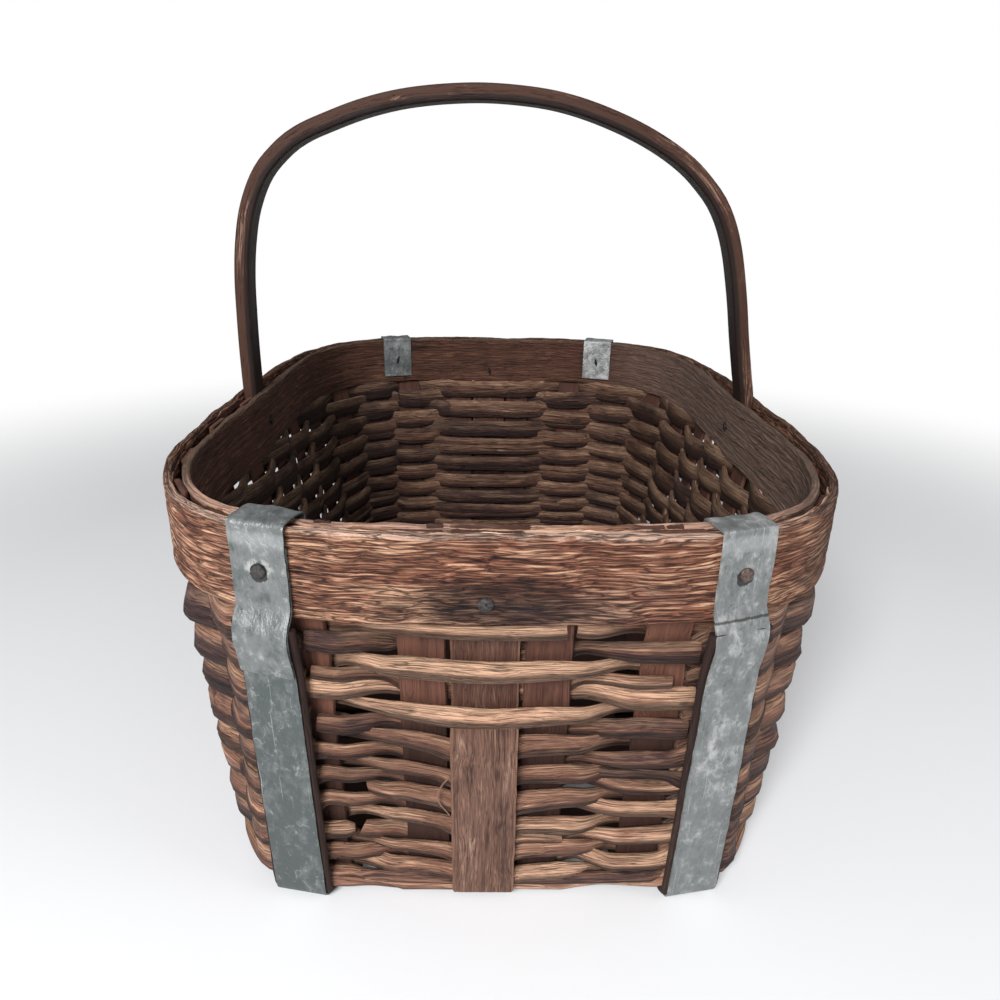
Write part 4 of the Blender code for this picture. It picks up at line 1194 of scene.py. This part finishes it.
def nail_tree():
    """A domed head and a round shank on every point, turned to its outward direction."""
    sizes = ("Head Radius", "Head Height", "Shank Radius")
    graph, given = new_tree("Nails", "Seats", sizes)
    head, thin = given.out("Head Radius"), given.out("Shank Radius")
    ball = graph.geometry("MeshUVSphere", segments=24, rings=14, radius=1.0)
    domed = graph.combine(head, head, given.out("Head Height"))
    ball = graph.geometry("Transform", geometry=ball, scale=domed)
    waver = graph.noise(graph.geometry("InputPosition"), (420.0, 420.0, 420.0)) - 0.5
    moved = graph.scaled(graph.geometry("InputNormal"), waver * head * 0.25)
    ball = graph.geometry("SetPosition", geometry=ball, offset=moved)
    aim = {"Vector": graph.stored("outward", "FLOAT_VECTOR")}
    turn = graph.node("FunctionNodeAlignRotationToVector", {"axis": "Z"}, aim)
    seats = {"points": given.out("Seats"), "rotation": turn}
    heads = graph.geometry("InstanceOnPoints", instance=ball, **seats)
    rod = graph.geometry("MeshCylinder", vertices=16, side_segments=6, radius=1.0, depth=1.0)
    rod = graph.geometry("Transform", geometry=rod, translation=(0.0, 0.0, -0.5))
    long = graph.combine(thin, thin, graph.stored("long"))
    shanks = graph.geometry("InstanceOnPoints", instance=rod, scale=long, **seats)
    joined = graph.geometry("JoinGeometry", geometry=heads)
    graph.feed(joined.socket.node.inputs[0], shanks)
    return end_tree(graph, given, joined)


def nail_seats():
    """Each nail's CAD name, the point under its head, its direction and its length."""
    clinched = 0.0016
    layer = STRAP_THICKNESS + CLEARANCE
    rim_depth = 2 * HOOP_THICKNESS + END_GAP
    handle_depth = 2 * HOOP_THICKNESS + HANDLE_GAP
    # Name, face, place along it, depth below the rim, straps under the head, what it goes through
    nails = []
    for face in ("front", "back"):
        for side, label in ((-1, "left"), (1, "right")):
            straps = 2 if (face, label) == ("front", "left") else 1
            place = side * STRAP_X * RIM_FLARE
            nails.append((f"strap_nail_{face}_{label}", face, place, 0.019, straps, rim_depth))
        nails.append((f"rim_nail_{face}", face, MIDDLE_X * RIM_FLARE, 0.030, 0, rim_depth))
    for face in ("left", "right"):
        nails.append((f"handle_nail_{face}", face, 0.0, 0.020, 0, handle_depth))
    seats = []
    for name, face, place, below, straps, depth in nails:
        point, outward = rim_frame(face, place)
        seat = point + outward * (straps * layer + CLEARANCE)
        seat.z = RIM_HEIGHT - below
        seats.append((name, seat, outward, depth + 2 * straps * layer + CLEARANCE + clinched))
    return seats


def make_nails():
    tree = nail_tree()
    grey = iron("grey nail iron", (38, 36, 37), (76, 72, 71))
    black = iron("bent nail iron", (22, 19, 19), (46, 40, 38))
    brown = iron("rusted nail iron", (62, 50, 47), (106, 90, 84))
    for name, seat, outward, length in nail_seats():
        mesh = bpy.data.meshes.new(name)
        mesh.from_pydata([seat], [], [])
        mesh.attributes.new("outward", "FLOAT_VECTOR", "POINT").data[0].vector = outward
        mesh.attributes.new("long", "FLOAT", "POINT").data[0].value = length
        values = {
            "Head Radius": NAIL_HEAD, "Head Height": 0.0014, "Shank Radius": NAIL_SHANK,
            "Material": brown if name == "strap_nail_front_right" else grey,
        }
        made_by_nodes(name.replace("_", " "), mesh, tree, values, [name])
        tip = seat - outward * (length - 0.0004)
        lean = 0.0009 if name.endswith("left") else -0.0007
        side = UP.cross(outward)
        clinch = [
            (tip + (UP * 0.0034 - side * lean) * share, -outward) for share in (1.0, 0.4, -0.3, -0.9)
        ]
        sizes = [0.6, 1.0, 1.0, 0.5]
        swept(f"clinched end of {name.replace('_', ' ')}", [(clinch, sizes, 0.5, 0.3, False)],
              black, [], "nail_iron", width=0.0022, thickness=0.0016, corner_radius=0.0006,
              points_around=12, furrow_depth=0.0)


make_nails()

# Table, light and camera
# A pale table top that runs out into white, soft daylight from the front left with a weak fill
# from the right, and the photograph's camera close in front of the basket.


def table_paint():
    """Pale table paint round the basket that runs out into the white behind it."""
    surface = Surface("table")
    surface.finished({"Base Color": (0.86, 0.87, 0.89, 1.0), "Roughness": 0.6})
    away = surface.vector("LENGTH", surface.spot(), (0.0, 0.0, 0.0), 1)
    white = surface.node("ShaderNodeEmission", {}, {"Color": (1.0, 1.0, 1.0, 1.0)})
    mixed = surface.node("ShaderNodeMixShader", {}, {0: away.step(0.45, 1.1), 2: white})
    surface.feed(mixed.socket.node.inputs[1], Value(surface, surface.shader.outputs[0]))
    surface.feed(surface.tree.nodes["Material Output"].inputs["Surface"], mixed)
    return surface.material


def make_stage():
    mesh = bpy.data.meshes.new("table top")
    mesh.from_pydata([(-4, -2, -0.0005), (4, -2, -0.0005), (4, 3, -0.0005), (-4, 3, -0.0005)], [],
                     [(0, 1, 2, 3)])
    table = bpy.data.objects.new("table top", mesh)
    bpy.context.scene.collection.objects.link(table)
    mesh.materials.append(table_paint())
    world = bpy.data.worlds.new("soft light")
    bpy.context.scene.world = world
    world.use_nodes = True
    graph = Graph(world.node_tree)
    background = world.node_tree.nodes["Background"]
    camera_ray = graph.node("ShaderNodeLightPath", {}, {}, "Is Camera Ray")
    graph.feed(background.inputs["Strength"], camera_ray * 0.73 + 0.27)
    background.inputs["Color"].default_value = (1.0, 1.0, 1.0, 1.0)
    window = ("front left window", (-0.5, -1.5, 1.15), 0.7, 42)
    fill = ("right fill", (1.4, -0.6, 0.9), 0.8, 5)
    for name, place, size, watts in (window, fill):
        light = bpy.data.lights.new(name, "AREA")
        light.size = size
        light.energy = watts
        lamp = bpy.data.objects.new(name, light)
        lamp.location = place
        aim = Vector((0, 0, 0.12)) - Vector(place)
        lamp.rotation_euler = aim.to_track_quat("-Z", "Y").to_euler()
        bpy.context.scene.collection.objects.link(lamp)


def make_camera():
    data = bpy.data.cameras.new("camera")
    data.lens = 27.0
    data.sensor_width = 36.0
    data.clip_start = 0.01
    camera = bpy.data.objects.new("camera", data)
    camera.location = (-0.0068, -0.4914, 0.3177)
    camera.rotation_euler = (1.19531655, -0.01737424, -0.01008155)
    bpy.context.scene.collection.objects.link(camera)
    bpy.context.scene.camera = camera
    bpy.context.scene.view_settings.view_transform = "Standard"


make_stage()
make_camera()
